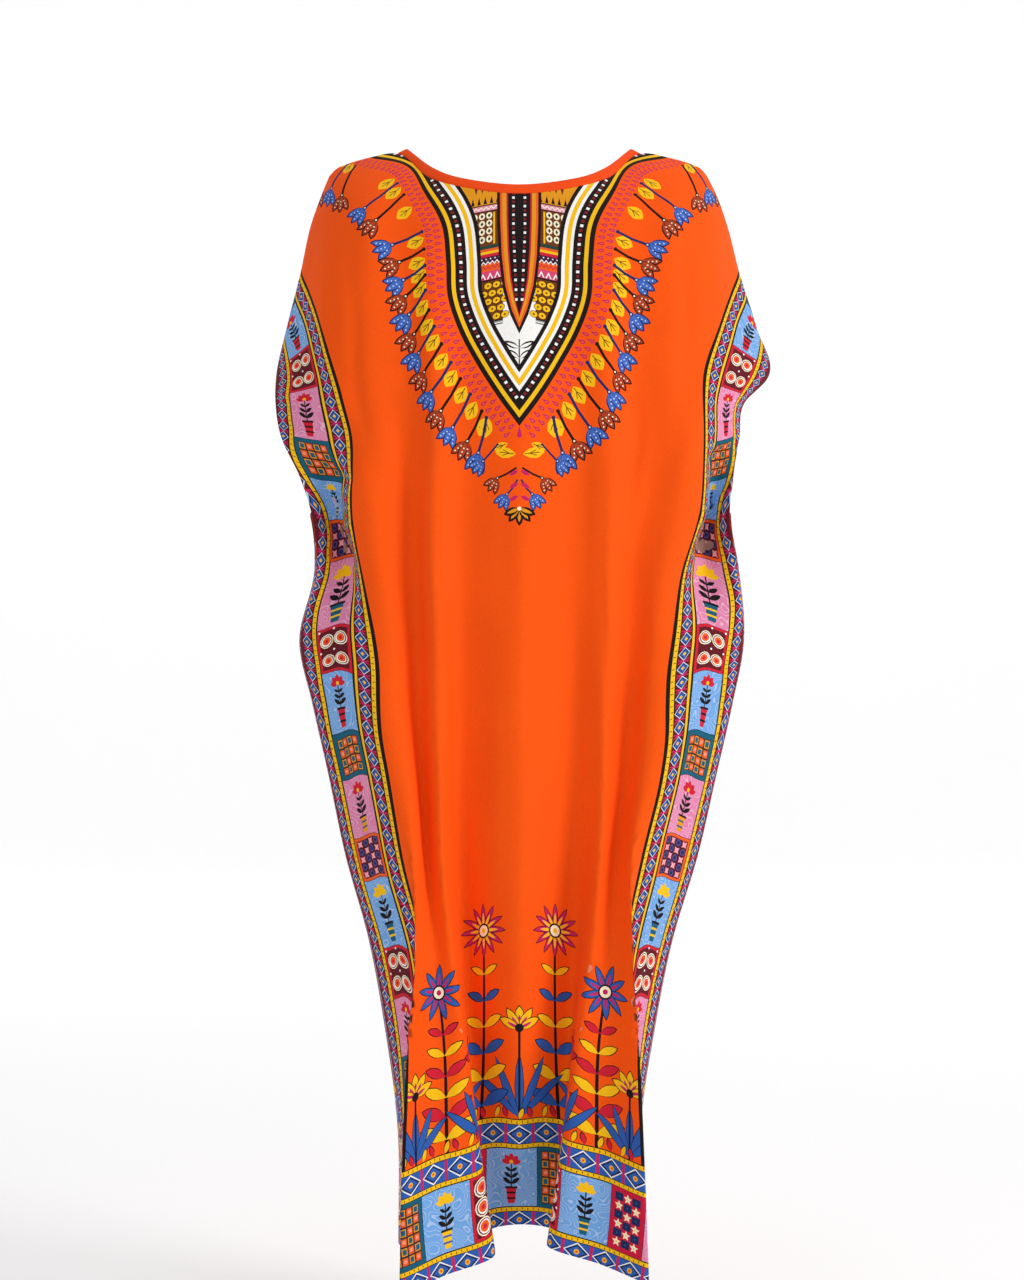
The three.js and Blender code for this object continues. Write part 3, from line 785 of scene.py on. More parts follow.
def yoke_ring(shapes, line, side):
    """Drops along the yoke's line, then leaning stems with buds out to the ring, and leaves."""
    pen = Pen(shapes, lambda p: p * (side, 1))
    ring = Line(RING_LINE)

    def root(point, far, lean):
        """Where a stem to a point starts, this far from the yoke's line, and its direction there."""
        start = line.at(max(0, line.nearest(point) - lean), far)
        way = (point - start) / np.hypot(*(point - start))
        return start, way, math.degrees(math.atan2(way[1], way[0]))

    for row, far in enumerate((4.8, 14.4)):
        for k in range(int((line.length - 26) / 8.6)):
            s = 34 + 8.6 * (k + 0.5 * row)
            start, out = line.at(s, far), line.at(s, far + 1) - line.at(s, far)
            if start[0] > 2:
                turn = math.degrees(math.atan2(out[1], out[0]))
                pen.drop(*start, 9.4, 4.6, turn, MAGENTA)
                pen.drop(*(start + out * 3.6), 4.4, 1.8, turn, FLAME)
    for k in range(int(ring.length / RING_PITCH)):
        tip = ring.at(RING_PITCH * (k + 0.5), 0)
        start, _, turn = root(ring.at(RING_PITCH * (k + 1), 0), 26, RING_LEAN)
        veined_leaf(pen, *start, 23, 15, turn)
        start, way, turn = root(tip, 27, RING_LEAN)
        end = tip - way * BUD_LENGTH
        rim, body, glow = BUDS[k % 2]
        bow = (start + end) / 2 + np.array([-way[1], way[0]]) * 1.2
        pen.stroke([start, bow, end], 3.0, rim)
        pen.disc(*start, 2.4, rim, 6)
        bud(pen, *end, turn, rim, body, glow)


def yoke_tail(pen):
    """What hangs under the yoke's point."""
    pen.drop(0, 303, 13, 5.6, 90, MAGENTA)
    for side in (1, -1):
        turn = lambda angle: angle if side > 0 else 180 - angle
        veined_leaf(pen, side * 4, 334, 24, 12, turn(-8))
        veined_leaf(pen, side * 13, 322, 18, 9, turn(20))
        pen.stroke([(side * 3, 349), (side * 15, 356), (side * 25, 360)], 2.2, BLACK)
        bud(pen, side * 25, 360, turn(52), *BUDS[0], 0.76)
        pen.stroke([(side * 2, 362), (side * 8, 372), (side * 14, 378)], 2.0, NAVY)
        bud(pen, side * 14, 378, turn(58), *BUDS[1], 0.76)
        pen.stroke([(side * 24, 322), (side * 34, 333), (side * 42, 341)], 2.2, NAVY)
        bud(pen, side * 42, 341, turn(45), *BUDS[1], 0.76)
        for k in range(3):
            pen.leaf(side * 1.5, 352 + 14 * k, 11, 4.6, turn(28), MAGENTA)
    for angle in (90, 50, 130, 20, 160):
        pen.leaf(0, 394, 19, 9, angle, BLACK)
        pen.leaf(0, 394, 15, 4, angle, GOLD)
    pen.disc(0, 394, 2.4, CREAM, 8)


# The row of flowers over the hem band


def edged_leaf(pen, a, b, length, width, turn, colour):
    pen.leaf(a, b, length + 1.6, width + 1.8, turn, BLACK)
    pen.leaf(a, b, length, width, turn, colour)


def blossom(pen, a, b, radius, petals, colour, heart):
    for k in range(petals):
        edged_leaf(pen, a, b, radius, radius * 2.4 / petals, 360 * k / petals, colour)
    pen.disc(a, b, radius * 0.28, BLACK, 10)
    pen.disc(a, b, radius * 0.22, heart, 8)


# Over the hem band: how far from the middle each flower stands, its height, petals, and colours
TALL_FLOWERS = [(46, 236, 12, MAGENTA, YELLOW, (BLUE, YELLOW)),
                (138, 196, 9, BLUE, MAGENTA, (YELLOW, RED))]
LOW_FLOWERS = [(0, 128, YELLOW), (92, 112, RED), (178, 96, YELLOW)]


def tall_flower(pen, a, high, petals, colour, heart, leaves):
    """A round bloom on a straight stem with pairs of leaves, growing up from the band."""
    pen.stroke([(a, 0), (a, high * 0.45), (a, high - 22)], 4.2, BLACK, 2.6)
    for k in range(6):
        long = 37 - 3.4 * k
        for turn in (28, 152):
            edged_leaf(pen, a, 14 + (high - 74) * k / 5.5, long, long * 0.38, turn, leaves[k % 2])
    blossom(pen, a, high - 26, 29, petals, colour, heart)
    for k in range(petals):
        pen.leaf(a, high - 26, 20, 3.4, 360 * k / petals, heart)
    pen.disc(a, high - 26, 8.4, BLACK, 12)
    pen.disc(a, high - 26, 6.4, CREAM, 12)
    pen.disc(a, high - 26, 3.0, heart, 8)


def low_flower(pen, a, high, colour):
    """A fan of narrow leaves with one open bloom over it."""
    for turn in (90, 66, 114, 42, 138):
        edged_leaf(pen, a, 2, high * 0.56, 9, turn, BLUE if turn % 4 else TEAL)
    pen.stroke([(a, 0), (a, high * 0.4), (a, high - 16)], 2.6, BLACK)
    for turn in (90, 54, 126, 18, 162):
        edged_leaf(pen, a, high - 24, 24, 10, turn, colour)
        pen.leaf(a, high - 24, 15, 3.6, turn, MAGENTA)
    pen.disc(a, high - 24, 5, BLACK, 10)


def flower_row(shapes, flat):
    """The flowers over the hem band, the same on both sides of the middle."""
    low = flat[-1]

    def place(p):
        hem = np.interp(np.abs(p[:, 0]), low[:, 0], low[:, 1])
        return np.stack([p[:, 0], hem - HEM_BAND - p[:, 1]], axis=1)
    pen = Pen(shapes, place)
    for side in (1, -1):
        for a, high, petals, colour, heart, leaves in TALL_FLOWERS:
            tall_flower(pen, side * a, high, petals, colour, heart, leaves)
        for a, high, colour in LOW_FLOWERS:
            if a or side > 0:
                low_flower(pen, side * a, high, colour)
    for k in range(-14, 15):
        edged_leaf(pen, 14 * k, 0, 13, 5.4, 90 + (18 if k % 2 else -18), RED if k % 2 else YELLOW)


def whole_print(flat, border):
    """All shapes of a panel's print, the later over the earlier."""
    shapes = []
    flower_row(shapes, flat)
    yoke(shapes)
    side_border(shapes, 1, border)
    side_border(shapes, -1, border)
    hem_band(shapes, flat)
    return shapes


# Creases of the cloth, placed on the flat cloth: from across, from down, to across, to down,
# half width, height (minus is a trough), how much it bows sideways
FRONT_CREASES = [
    (-152, 250, -128, 820, 12, -2.6, 9), (-106, 330, -96, 700, 9, 1.8, -6),
    (-72, 430, -66, 1010, 11, -1.9, 5), (-30, 560, -38, 1000, 14, 1.4, -4),
    (22, 470, 28, 960, 12, -1.5, 4), (70, 380, 74, 860, 10, 1.8, 6),
    (98, 300, 112, 760, 10, -2.2, -7), (138, 260, 126, 620, 9, 2.0, 6),
    (158, 470, 146, 900, 8, -2.0, -5), (-160, 560, -148, 930, 8, 1.8, 5),
    (-206, 90, -168, 420, 11, -2.4, -8), (196, 60, 166, 400, 11, -2.2, 8),
    (-236, 130, -196, 330, 9, 1.8, -5), (232, 120, 198, 360, 9, 1.8, 6),
    (-180, 20, -150, 170, 12, 1.6, 5), (176, 10, 146, 190, 12, 1.5, -5),
    (-272, 330, -214, 372, 9, -3.0, 5), (274, 322, 214, 352, 8, -2.8, -5),
    (-282, 392, -212, 420, 8, 2.6, -4), (282, 380, 212, 408, 8, 2.4, 4),
    (-284, 450, -206, 446, 8, -2.2, 6), (284, 438, 208, 432, 8, -2.2, -5),
    (-262, 560, -240, 900, 9, -1.8, 6), (262, 540, 236, 880, 9, -1.8, -6),
    (-110, 900, -150, 1180, 9, 1.6, 5), (124, 920, 158, 1190, 9, -1.6, -5),
    (-64, 40, -50, 250, 10, -0.9, 3), (60, 60, 52, 260, 10, -0.9, -3),
    (-12, 300, -16, 560, 13, -1.0, 3), (-118, 120, -112, 330, 9, -1.2, 4),
]
BACK_CREASES = [
    (-148, 240, -130, 860, 12, -2.6, 8), (-92, 330, -84, 760, 10, 1.9, -6),
    (-48, 400, -44, 1020, 12, -1.9, 5), (6, 300, 2, 900, 13, 1.4, -4),
    (54, 420, 58, 980, 11, -1.8, 5), (96, 300, 104, 720, 10, 2.0, 6),
    (146, 260, 134, 820, 11, -2.4, -7), (-196, 100, -170, 420, 11, -2.2, -7),
    (204, 90, 172, 430, 11, -2.2, 7), (-232, 130, -206, 380, 9, 1.8, 5),
    (230, 140, 204, 360, 9, 1.8, -5), (-270, 300, -210, 360, 9, -2.8, 5),
    (272, 310, 214, 352, 9, -2.6, -5), (-230, 480, -216, 980, 11, -2.0, 6),
    (236, 470, 218, 1000, 11, -2.0, -6), (-110, 820, -128, 1170, 10, 1.7, 4),
    (118, 840, 136, 1180, 10, -1.7, -4), (-20, 40, -14, 280, 12, -1.0, 3),
    (80, 30, 72, 260, 10, 1.1, -3),
]
CREASE_LISTS = {"front": FRONT_CREASES, "back": BACK_CREASES}
CREASE_DEPTH = 1.45
# Shapes with a mean width over BROAD also show on the inside
BROAD = 12
# How far the outside and the inside lie from the middle of the cloth
SKIN, INNER_SKIN = 0.42, 0.95
SEAM_HALF_GAP = 0.12
SEAM_FADE, SHOULDER_FADE = 12, 14
RIM_STEP, FILL_ACROSS, FILL_DOWN = 6.0, 7.0, 16.0
# The flat picture: its side, the middle and top of the outside, then of the inside at half size
SHEET_SIDE = 1400
OUTSIDE_AT, INSIDE_AT = (420, 90), (1110, 100)
INSIDE_SCALE = 0.5
MM = 0.001


def grid_normals(grid, outward):
    across = np.gradient(grid, axis=1)
    down = np.gradient(grid, axis=0)
    normals = np.cross(across, down) * outward
    return normals / np.linalg.norm(normals, axis=2)[..., None]


def creases(flat, side, rows):
    """Height of the creases at each point of a half."""
    across, down = flat[..., 0] * side, flat[..., 1]
    total = np.zeros(across.shape)
    rows = [(*row[:5], row[5] * CREASE_DEPTH, row[6]) for row in rows]
    for n, (a0, d0, a1, d1, half, height, bow) in enumerate(rows):
        run = np.hypot(a1 - a0, d1 - d0)
        along = ((across - a0) * (a1 - a0) + (down - d0) * (d1 - d0)) / run ** 2
        off = ((across - a0) * (d1 - d0) - (down - d0) * (a1 - a0)) / run
        inside = np.clip(along, 0, 1)
        bend = bow * np.sin(inside * math.pi * (1.3 + 0.23 * (n % 4)) + n)
        fade = np.clip(np.sin(np.pi * inside), 0, 1) ** 0.8
        swell = 1 + 0.35 * np.sin(inside * 7 + 1.7 * n)
        width = half * (0.8 + 0.5 * inside)
        total += height * fade * swell * np.exp(-((off - bend) / width) ** 2)
    return total


def draw_in(grid, other):
    """Moves the cloth near a seam back until both panels just clear each other there."""
    grid = grid.copy()
    reach = np.linalg.norm(np.diff(grid, axis=1), axis=2)[:, ::-1].cumsum(axis=1)[:, ::-1]
    reach = np.hstack([reach, np.zeros((len(grid), 1))])
    fade = np.clip(1 - reach / SEAM_FADE, 0, 1)[..., None] ** 2
    gap = np.linalg.norm(grid[:, -1] - other[:, -1], axis=1)
    inward = grid[:, -3] - grid[:, -1]
    inward /= np.linalg.norm(inward, axis=1)[:, None]
    inset = np.clip(SEAM_HALF_GAP + SKIN * 0.7 - gap / 2, 0, None)[:, None]
    grid += fade * (inward * inset)[:, None, :]
    start = NECK_POINT * SPAN_STEPS
    height = np.linalg.norm(np.diff(grid[:, start:], axis=0), axis=2).cumsum(axis=0)
    height = np.vstack([np.zeros((1, height.shape[1])), height])
    fade = np.clip(1 - height / SHOULDER_FADE, 0, 1)[..., None] ** 2
    down = grid[3, start:] - grid[0, start:]
    down /= np.linalg.norm(down, axis=1)[:, None]
    grid[:, start:] += fade * (down * (SEAM_HALF_GAP + SKIN * 1.6))[None]
    return grid


class Panel:
    """One panel of cloth: its fine grids, its flat shape and where flat points come to lie."""

    def __init__(self, name, grids):
        self.name = name
        self.flat = flat_grid(grids, name)
        facing = -1 if name == "front" else 1
        other = "back" if name == "front" else "front"
        self.grids, self.normals = {}, {}
        for side in (-1, 1):
            grid = draw_in(grids[name, side], grids[other, side])
            # Columns run outwards, so the sense of across x down changes from side to side
            outward = facing * side
            normal = grid_normals(grid, outward)
            lift = creases(self.flat, side, CREASE_LISTS[name])
            grid = grid + normal * lift[..., None]
            self.grids[side] = grid
            self.normals[side] = grid_normals(grid, outward)

    def outline(self):
        """Flat points round the whole panel."""
        def walk(points):
            places = np.concatenate([[0], np.cumsum(np.hypot(*np.diff(points, axis=0).T))])
            count = max(2, int(places[-1] / RIM_STEP))
            at = np.linspace(0, places[-1], count + 1)[:-1]
            return np.stack([np.interp(at, places, points[:, k]) for k in (0, 1)], axis=1)
        right = [walk(self.flat[0]), walk(self.flat[:, -1]), walk(self.flat[-1][::-1])]
        right = np.vstack([*right, self.flat[-1, 0]])
        left = right[-2:0:-1] * (-1, 1)
        return np.vstack([right, left])

    def place(self, points):
        """Points and normals, in millimetres, where flat points come to lie."""
        where, facing = np.zeros((len(points), 3)), np.zeros((len(points), 3))
        for side in (-1, 1):
            mine = points[:, 0] * side >= 0 if side > 0 else points[:, 0] < 0
            row, column = locate(self.flat, points[mine] * (side, 1))
            where[mine] = read_grid(self.grids[side], row, column)
            facing[mine] = read_grid(self.normals[side], row, column)
        middle = np.abs(points[:, 0]) < 0.01
        facing[middle, 0] = 0
        return where, facing / np.linalg.norm(facing, axis=1)[:, None]

    def fillers(self):
        """Even points inside the panel, so that plain cloth also follows its folds."""
        columns = np.arange(len(COLUMNS), dtype=float)
        rows = np.arange(FILL_DOWN / 2 / ROW_STEP, len(ROWS) - 1 - 0.7, FILL_DOWN / ROW_STEP)
        points = []
        for n, row in enumerate(rows):
            line = read_grid(self.flat, np.full(len(COLUMNS), row), columns)
            first = FILL_ACROSS / 4 if n % 2 else 3 * FILL_ACROSS / 4
            at = np.arange(first, line[-1, 0] - 2.5, FILL_ACROSS)
            across = np.concatenate([at, -at])
            down = np.interp(np.abs(across), line[:, 0], line[:, 1])
            points.append(np.stack([across, down], axis=1))
        return np.vstack(points)


def signed_area(points):
    x, y = points[:, 0], points[:, 1]
    return 0.5 * np.sum(x * np.roll(y, -1) - np.roll(x, -1) * y)


def triangle_areas(points, triangles):
    one, two, three = (points[triangles[:, k]] for k in range(3))
    a, b = two - one, three - one
    return 0.5 * np.abs(a[:, 0] * b[:, 1] - a[:, 1] * b[:, 0])


def triangulate(outline, shapes, fillers):
    """Triangles of the cloth inside its outline and, for each, the number of the topmost shape."""
    points, faces = [], []
    for loop in [outline] + [s[0] for s in shapes]:
        loop = loop if signed_area(loop) > 0 else loop[::-1]
        faces.append(list(range(len(points), len(points) + len(loop))))
        points.extend(Vector(p) for p in loop.tolist())
    points.extend(Vector(p) for p in fillers.tolist())
    found = delaunay_2d_cdt(points, [], faces, 0, 1e-4, True)
    vertices = np.array([(p.x, p.y) for p in found[0]])
    areas = triangle_areas(vertices, np.array(found[2]))
    # A shape whose outline crosses itself would cover far more than its own area, so it is left out
    own = np.array([abs(signed_area(loop)) for loop in [outline] + [s[0] for s in shapes]])
    covered = np.zeros(len(own))
    for area, owners in zip(areas, found[5]):
        covered[owners] += area
    sound = covered <= own * 1.4 + 4
    print("shapes", len(shapes), "left out", int((~sound).sum()))
    triangles, shape = [], []
    for triangle, owners in zip(found[2], found[5]):
        if owners and min(owners) == 0:
            triangles.append(triangle)
            shape.append(max(n for n in owners if sound[n]))
    triangles, shape = np.array(triangles), np.array(shape)
    used, index = np.unique(triangles, return_inverse=True)
    return vertices[used], index.reshape(-1, 3), shape


def border_loop(triangles, count):
    """The vertices round a sheet of triangles, in order."""
    edges = np.vstack([triangles[:, [0, 1]], triangles[:, [1, 2]], triangles[:, [2, 0]]])
    keys = edges[:, 0].astype(np.int64) * count + edges[:, 1]
    back = edges[:, 1].astype(np.int64) * count + edges[:, 0]
    rim = edges[~np.isin(keys, back)]
    after = dict(rim.tolist())
    loop = [rim[0, 0]]
    while after[loop[-1]] != loop[0]:
        loop.append(after[loop[-1]])
    return np.array(loop)


def broad(loop):
    """Whether a shape is wide enough to show through on the inside."""
    length = np.hypot(*(np.roll(loop, -1, axis=0) - loop).T).sum()
    return 2 * abs(signed_area(loop)) / length > BROAD


def cloth_face(panel, outline, shapes):
    """One face of the cloth: flat points, places, facings, triangles, their colours and the rim."""
    flat, triangles, shape = triangulate(outline, shapes, panel.fillers())
    where, facing = panel.place(flat)
    one, two, three = triangles[0]
    if np.dot(np.cross(where[two] - where[one], where[three] - where[one]), facing[one]) < 0:
        triangles = triangles[:, ::-1]
    paints = np.array([ORANGE] + [s[1] for s in shapes])[shape]
    return flat, where, facing, triangles, paints, border_loop(triangles, len(flat))


def close_rim(first, second, first_flat, second_flat):
    """Triangles between the rims of the two faces, which may have different numbers of points."""
    start = np.argmin(np.hypot(*(second_flat[second] - first_flat[first[0]]).T))
    second = np.roll(second, -start)

    def shares(points):
        steps = np.hypot(*(np.roll(points, -1, axis=0) - points).T)
        return np.cumsum(steps) / steps.sum()
    ahead, behind = shares(first_flat[first]), shares(second_flat[second])
    rim, i, j = [], 0, 0
    while i < len(first) or j < len(second):
        here, there = first[i % len(first)], second[j % len(second)] + len(first_flat)
        if j == len(second) or (i < len(first) and ahead[i] <= behind[j]):
            i += 1
            rim.append((here, there, first[i % len(first)]))
        else:
            j += 1
            rim.append((here, there, second[j % len(second)] + len(first_flat)))
    return np.array(rim)


def cloth_object(panel, shapes):
    """A thin shell with the print as the colours of its faces; its broad parts show inside too."""
    flat, where, facing, outer, paints, loop = cloth_face(panel, panel.outline(), shapes)
    in_flat, in_where, in_facing, inner, in_paints, in_loop = cloth_face(
        panel, flat[loop], [s for s in shapes if broad(s[0])])
    rim = close_rim(loop, in_loop, flat, in_flat)
    faces = np.vstack([outer, inner[:, ::-1] + len(flat), rim])
    vertices = np.vstack([where + facing * SKIN, in_where - in_facing * INNER_SKIN]) * MM
    normals = np.vstack([facing, -in_facing])
    colours = np.vstack([paints, in_paints, np.tile(np.array(ORANGE), (len(rim), 1))])

    mesh = bpy.data.meshes.new(f"{panel.name}_cloth")
    mesh.from_pydata(vertices.tolist(), [], faces.tolist())
    tints = mesh.color_attributes.new("print", "FLOAT_COLOR", "CORNER")
    tints.data.foreach_set("color", np.repeat(colours, 3, axis=0).astype(np.float32).ravel())
    # The outside takes the larger part of the flat picture, the inside a smaller copy beside it
    corners = np.vstack([flat, in_flat])[faces.ravel()]
    small = np.repeat(np.arange(len(faces)) >= len(outer), 3)
    sheet = np.where(small[:, None], corners * INSIDE_SCALE + INSIDE_AT, corners + OUTSIDE_AT)
    sheet = sheet / SHEET_SIDE
    uv = mesh.uv_layers.new(name="OFBake")
    uv.data.foreach_set("uv", (sheet * (1, -1) + (0, 1)).astype(np.float32).ravel())
    mesh.normals_split_custom_set_from_vertices(normals.tolist())
    slots = np.repeat([0, 1, 0], [len(outer), len(inner), len(rim)]).astype(np.int32)
    mesh.polygons.foreach_set("material_index", slots)
    mesh.update()
    piece = bpy.data.objects.new(f"{panel.name}_cloth", mesh)
    bpy.context.scene.collection.objects.link(piece)
    area = triangle_areas(flat, outer).sum()
    print(panel.name, "triangles", len(faces), "flat area", round(area * 1e-6, 4))
    return piece, area * 1e-6


# Materials


def cloth_material(name, wear, sheen):
    """Light plain-woven cloth; its colour is the print's, with the weave's own unevenness."""
    material = bpy.data.materials.new(name)
    material.use_nodes = True
    nodes, links = material.node_tree.nodes, material.node_tree.links
    shader = nodes["Principled BSDF"]
    shader.inputs["Roughness"].default_value = 0.78
    shader.inputs["Sheen Weight"].default_value = sheen
    shader.inputs["Sheen Roughness"].default_value = 0.45
    shader.inputs["Sheen Tint"].default_value = (1.0, 0.5, 0.22, 1)
    shader.inputs["Specular IOR Level"].default_value = 0.14
    colour = nodes.new("ShaderNodeAttribute")
    colour.attribute_name = "print"
    place = nodes.new("ShaderNodeTexCoord")

    def noise(scale, detail, rough=0.5):
        node = nodes.new("ShaderNodeTexNoise")
        node.inputs["Scale"].default_value = scale
        node.inputs["Detail"].default_value = detail
        node.inputs["Roughness"].default_value = rough
        links.new(place.outputs["Object"], node.inputs["Vector"])
        return node.outputs[0]

    def math_node(kind, a, b=None):
        node = nodes.new("ShaderNodeMath")
        node.operation = kind
        for n, value in enumerate((a, b)):
            if value is None:
                continue
            if isinstance(value, (int, float)):
                node.inputs[n].default_value = value
            else:
                links.new(value, node.inputs[n])
        return node.outputs[0]

    def mix(amount, a, b, kind="MIX"):
        node = nodes.new("ShaderNodeMix")
        node.data_type = "RGBA"
        node.blend_type = kind
        for value, where in ((amount, node.inputs[0]), (a, node.inputs[6]), (b, node.inputs[7])):
            if isinstance(value, (tuple, int, float)):
                where.default_value = value
            else:
                links.new(value, where)
        return node.outputs[2]

    # Fine pale scrolls where the print asks for them
    bands = math_node("FRACT", math_node("MULTIPLY", noise(38, 1.0), 17.0))
    scroll = math_node("MULTIPLY", math_node("LESS_THAN", bands, 0.2), colour.outputs["Alpha"])
    printed = mix(math_node("MULTIPLY", scroll, 0.3), colour.outputs["Color"], (0.93, 0.93, 0.96, 1))
    # Slight unevenness of dye and yarn
    uneven = math_node("ADD", math_node("MULTIPLY", noise(9, 3.0), 0.16), 0.92)
    fine = math_node("ADD", math_node("MULTIPLY", noise(420, 2.0), 0.16), 0.92)
    shade = math_node("MULTIPLY", uneven, fine)
    grey = nodes.new("ShaderNodeCombineColor")
    for n in range(3):
        links.new(shade, grey.inputs[n])
    dyed = mix(1.0, printed, grey.outputs[0], "MULTIPLY")
    if wear:
        dyed = mix(wear, dyed, (0.72, 0.42, 0.28, 1))
    links.new(dyed, shader.inputs["Base Color"])
    # Warp and weft
    weave = None
    for direction in ("X", "Z"):
        wave = nodes.new("ShaderNodeTexWave")
        wave.wave_type = "BANDS"
        wave.bands_direction = direction
        wave.inputs["Scale"].default_value = 260
        wave.inputs["Distortion"].default_value = 1.2
        links.new(place.outputs["Object"], wave.inputs["Vector"])
        # Output 1 is the wave's height as one number
        height = wave.outputs[1]
        weave = height if weave is None else math_node("MULTIPLY", weave, height)
    rough = math_node("ADD", math_node("MULTIPLY", noise(70, 4.0, 0.6), 0.7), weave)
    bump = nodes.new("ShaderNodeBump")
    bump.inputs["Strength"].default_value = 0.22
    bump.inputs["Distance"].default_value = 0.0006
    links.new(rough, bump.inputs["Height"])
    links.new(bump.outputs["Normal"], shader.inputs["Normal"])
    return material


grids = whole_grids()
printed = cloth_material("printed_cloth", 0.0, 0.06)
inside = cloth_material("printed_cloth_inside", 0.45, 0.1)
panels, pieces = {}, {}
for panel_name, border in (("front", FRONT_BORDER), ("back", BACK_BORDER)):
    panel = Panel(panel_name, grids)
    piece, area = cloth_object(panel, whole_print(panel.flat, border))
    piece.data.materials.append(printed)
    piece.data.materials.append(inside)
    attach(piece, "root")
    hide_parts(f"{panel_name}_panel")
    panels[panel_name], pieces[panel_name] = panel, (piece, area)

# Neck binding: a soft rolled band from the panels up to the finished neckline
NECKLINES = {
    "front": [(0, -73, -27), (62, -63, -18.5), (97, -42, -3), (128, 0, 26)],
    "back": [(0, 55, -6), (58, 49, -1), (97, 33, 8.5), (128, 0, 26)],
}
BINDING_TONE = rgb(240, 74, 18)


def neck_loop():
    """Round the neck: points of the finished neckline, of the panels' top rows, and the way out."""
    tops, lows, faces = [], [], []
    count = NECK_POINT * SPAN_STEPS
    for name, sides in (("front", (-1, 1)), ("back", (1, -1))):
        for side in sides:
            points = [np.multiply(NECKLINES[name][1], (-1, 1, 1)), *NECKLINES[name]]
            line = curve_at([-1, 0, 1, 2, 3], points, COLUMNS[:count + 1]) * (side, 1, 1)
            low = panels[name].grids[side][0, :count + 1]
            face = panels[name].normals[side][1, :count + 1]
            order = slice(None, 0, -1) if side == sides[0] else slice(0, -1)
            tops.append(line[order])
            lows.append(low[order])
            faces.append(face[order])
    return np.vstack(tops), np.vstack(lows), np.vstack(faces)


def binding_object():
    tops, lows, faces = neck_loop()
    # Evens out the turn over the shoulder seam
    for _ in range(6):
        faces = faces + 0.5 * (np.roll(faces, 1, axis=0) + np.roll(faces, -1, axis=0))
        faces /= np.linalg.norm(faces, axis=1)[:, None]
    up = tops - lows
    high = np.linalg.norm(up, axis=1)[:, None]
    up = up / high
    profile = [(0.02, 0.3), (0.06, 0.95), (0.3, 1.15), (0.6, 1.2), (0.86, 1.15), (0.97, 0.7), (1.0, 0),
               (0.97, -0.7), (0.86, -1.1), (0.6, -1.15), (0.3, -1.1), (0.06, -0.95), (0.02, -0.3)]
    count = len(tops)
    vertices = np.vstack([lows + up * high * share + faces * off
                          for share, off in profile]) * MM
    quads = []
    for k in range(len(profile)):
        for j in range(count):
            n = (j + 1) % count
            m = (k + 1) % len(profile)
            quads.append((k * count + j, m * count + j, m * count + n, k * count + n))
    mesh = bpy.data.meshes.new("neck_binding_cloth")
    mesh.from_pydata(vertices.tolist(), [], quads)
    tints = mesh.color_attributes.new("print", "FLOAT_COLOR", "CORNER")
    tone = np.tile(np.array(BINDING_TONE), (len(quads) * 4, 1)).astype(np.float32)
    tints.data.foreach_set("color", tone.ravel())
    mesh.polygons.foreach_set("use_smooth", [True] * len(quads))
    mesh.update()
    piece = bpy.data.objects.new("neck_binding_cloth", mesh)
    bpy.context.scene.collection.objects.link(piece)
    return piece


binding = binding_object()
binding_cloth = cloth_material("plain_binding", 0.0, 0.15)
binding.data.materials.append(binding_cloth)
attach(binding, "root")
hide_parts("neck_binding")

# Studio, in metres: a pale floor that curves up into a white wall, both slightly luminous
FLOOR = -1.34
FLOOR_FRONT, CURVE_START, CURVE_RADIUS = -12.0, 6.0, 1.8
WALL_HEIGHT, HALF_WIDTH = 9.0, 13.0


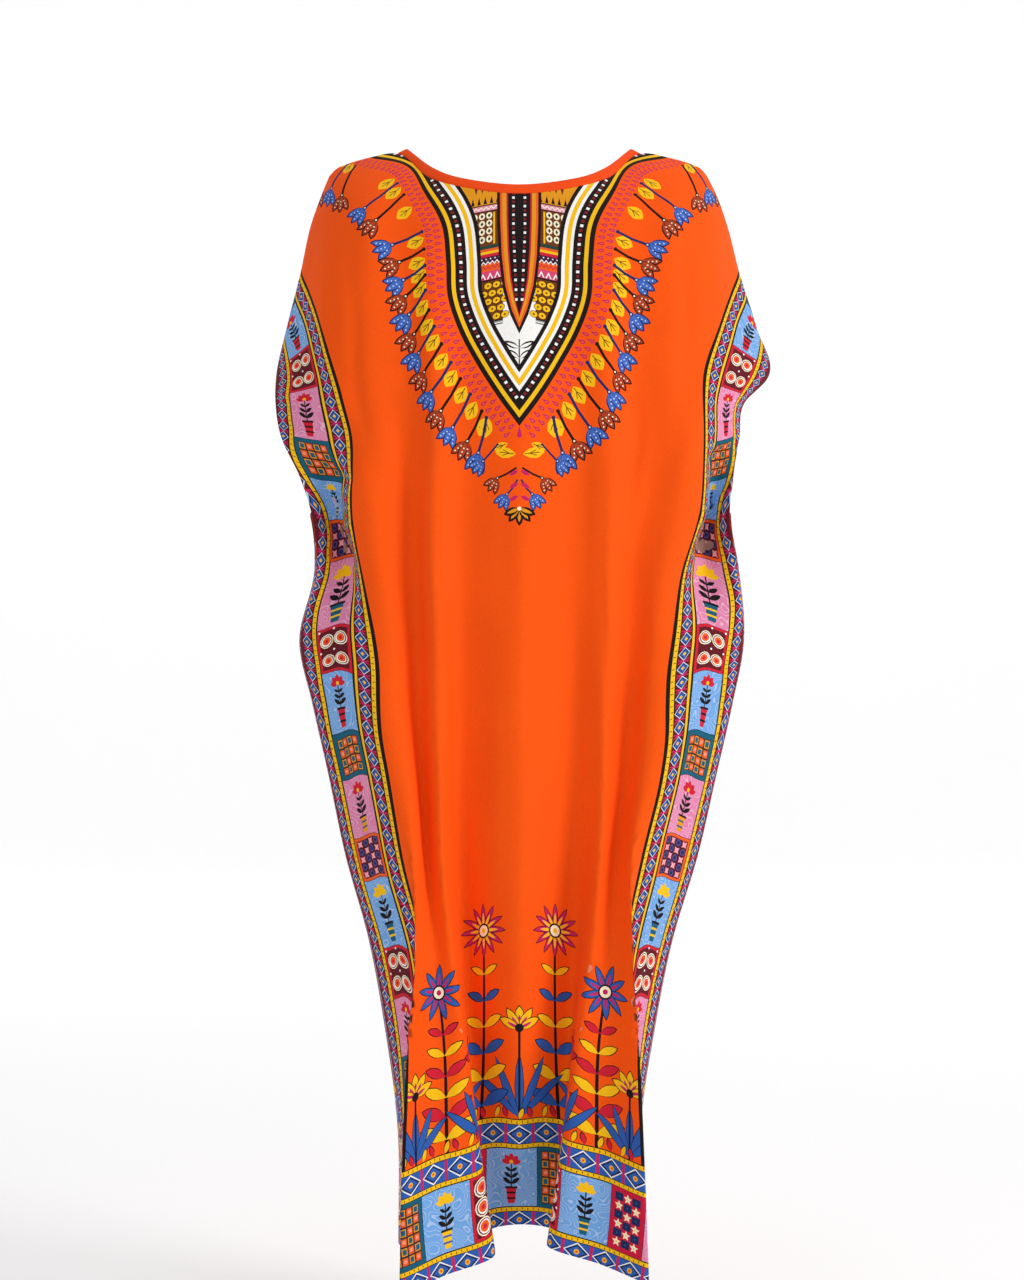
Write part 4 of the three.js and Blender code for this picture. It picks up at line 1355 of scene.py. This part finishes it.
def studio():
    profile = [(FLOOR_FRONT, 0.0), (CURVE_START, 0.0)]
    profile += [(CURVE_START + CURVE_RADIUS * math.sin(a), CURVE_RADIUS * (1 - math.cos(a)))
                for a in np.linspace(0.1, math.pi / 2, 14)]
    profile += [(CURVE_START + CURVE_RADIUS, WALL_HEIGHT)]
    vertices = [(x, y, FLOOR + z) for x in (-HALF_WIDTH, HALF_WIDTH) for y, z in profile]
    n = len(profile)
    quads = [(k, k + 1, n + k + 1, n + k) for k in range(n - 1)]
    mesh = bpy.data.meshes.new("studio_floor")
    mesh.from_pydata(vertices, [], quads)
    mesh.polygons.foreach_set("use_smooth", [True] * len(quads))
    floor = bpy.data.objects.new("studio_floor", mesh)
    bpy.context.scene.collection.objects.link(floor)
    material = bpy.data.materials.new("studio_white")
    material.use_nodes = True
    shader = material.node_tree.nodes["Principled BSDF"]
    shader.inputs["Base Color"].default_value = (0.76, 0.76, 0.765, 1)
    shader.inputs["Roughness"].default_value = 0.9
    shader.inputs["Emission Color"].default_value = (1, 1, 1, 1)
    shader.inputs["Emission Strength"].default_value = 0.275
    mesh.materials.append(material)


def lamp(name, place, target, size, power):
    light = bpy.data.lights.new(name, "AREA")
    light.shape = "RECTANGLE"
    light.size, light.size_y = size
    light.energy = power
    lamp_object = bpy.data.objects.new(name, light)
    lamp_object.location = place
    direction = Vector(target) - Vector(place)
    lamp_object.rotation_euler = direction.to_track_quat("-Z", "Y").to_euler()
    bpy.context.scene.collection.objects.link(lamp_object)


studio()
# Each lamp's place, what it points at, its size and its power
LAMPS = {
    "key": ((3.3, -2.1, 0.9), (0, 0, -0.5), (1.2, 1.8), 82),
    "fill": ((-2.4, -3.2, 0.2), (0, 0, -0.6), (2.2, 2.6), 14),
    "top": ((0, 0.2, 2.6), (0, 0, -0.6), (2.4, 2.4), 14),
    "wall_left": ((-3.4, 3.4, 1.8), (0.4, 6.8, -0.3), (2.4, 2.4), 52),
    "wall_right": ((3.4, 3.4, 1.8), (-0.4, 6.8, -0.3), (2.4, 2.4), 52),
}
for lamp_name, setting in LAMPS.items():
    lamp(lamp_name, *setting)

world = bpy.data.worlds.new("studio_light")
world.use_nodes = True
world.node_tree.nodes["Background"].inputs["Color"].default_value = (1, 1, 1, 1)
world.node_tree.nodes["Background"].inputs["Strength"].default_value = 0.52
scene = bpy.context.scene
scene.world = world
scene.view_settings.view_transform = "Standard"

# At this distance one of the picture's pixels covers PIXEL millimetres of the dress
SENSOR, DISTANCE, PICTURE_PIXELS, PIXEL = 36, 3000, 1024, 1.15
camera = bpy.data.cameras.new("camera")
camera.sensor_fit = "HORIZONTAL"
camera.sensor_width = SENSOR
camera.lens = SENSOR * DISTANCE / (PICTURE_PIXELS * PIXEL)
camera_object = bpy.data.objects.new("camera", camera)
camera_object.location = (-0.00805, -DISTANCE * MM, -0.5382)
camera_object.rotation_euler = (math.pi / 2, 0, 0)
scene.collection.objects.link(camera_object)
scene.camera = camera_object
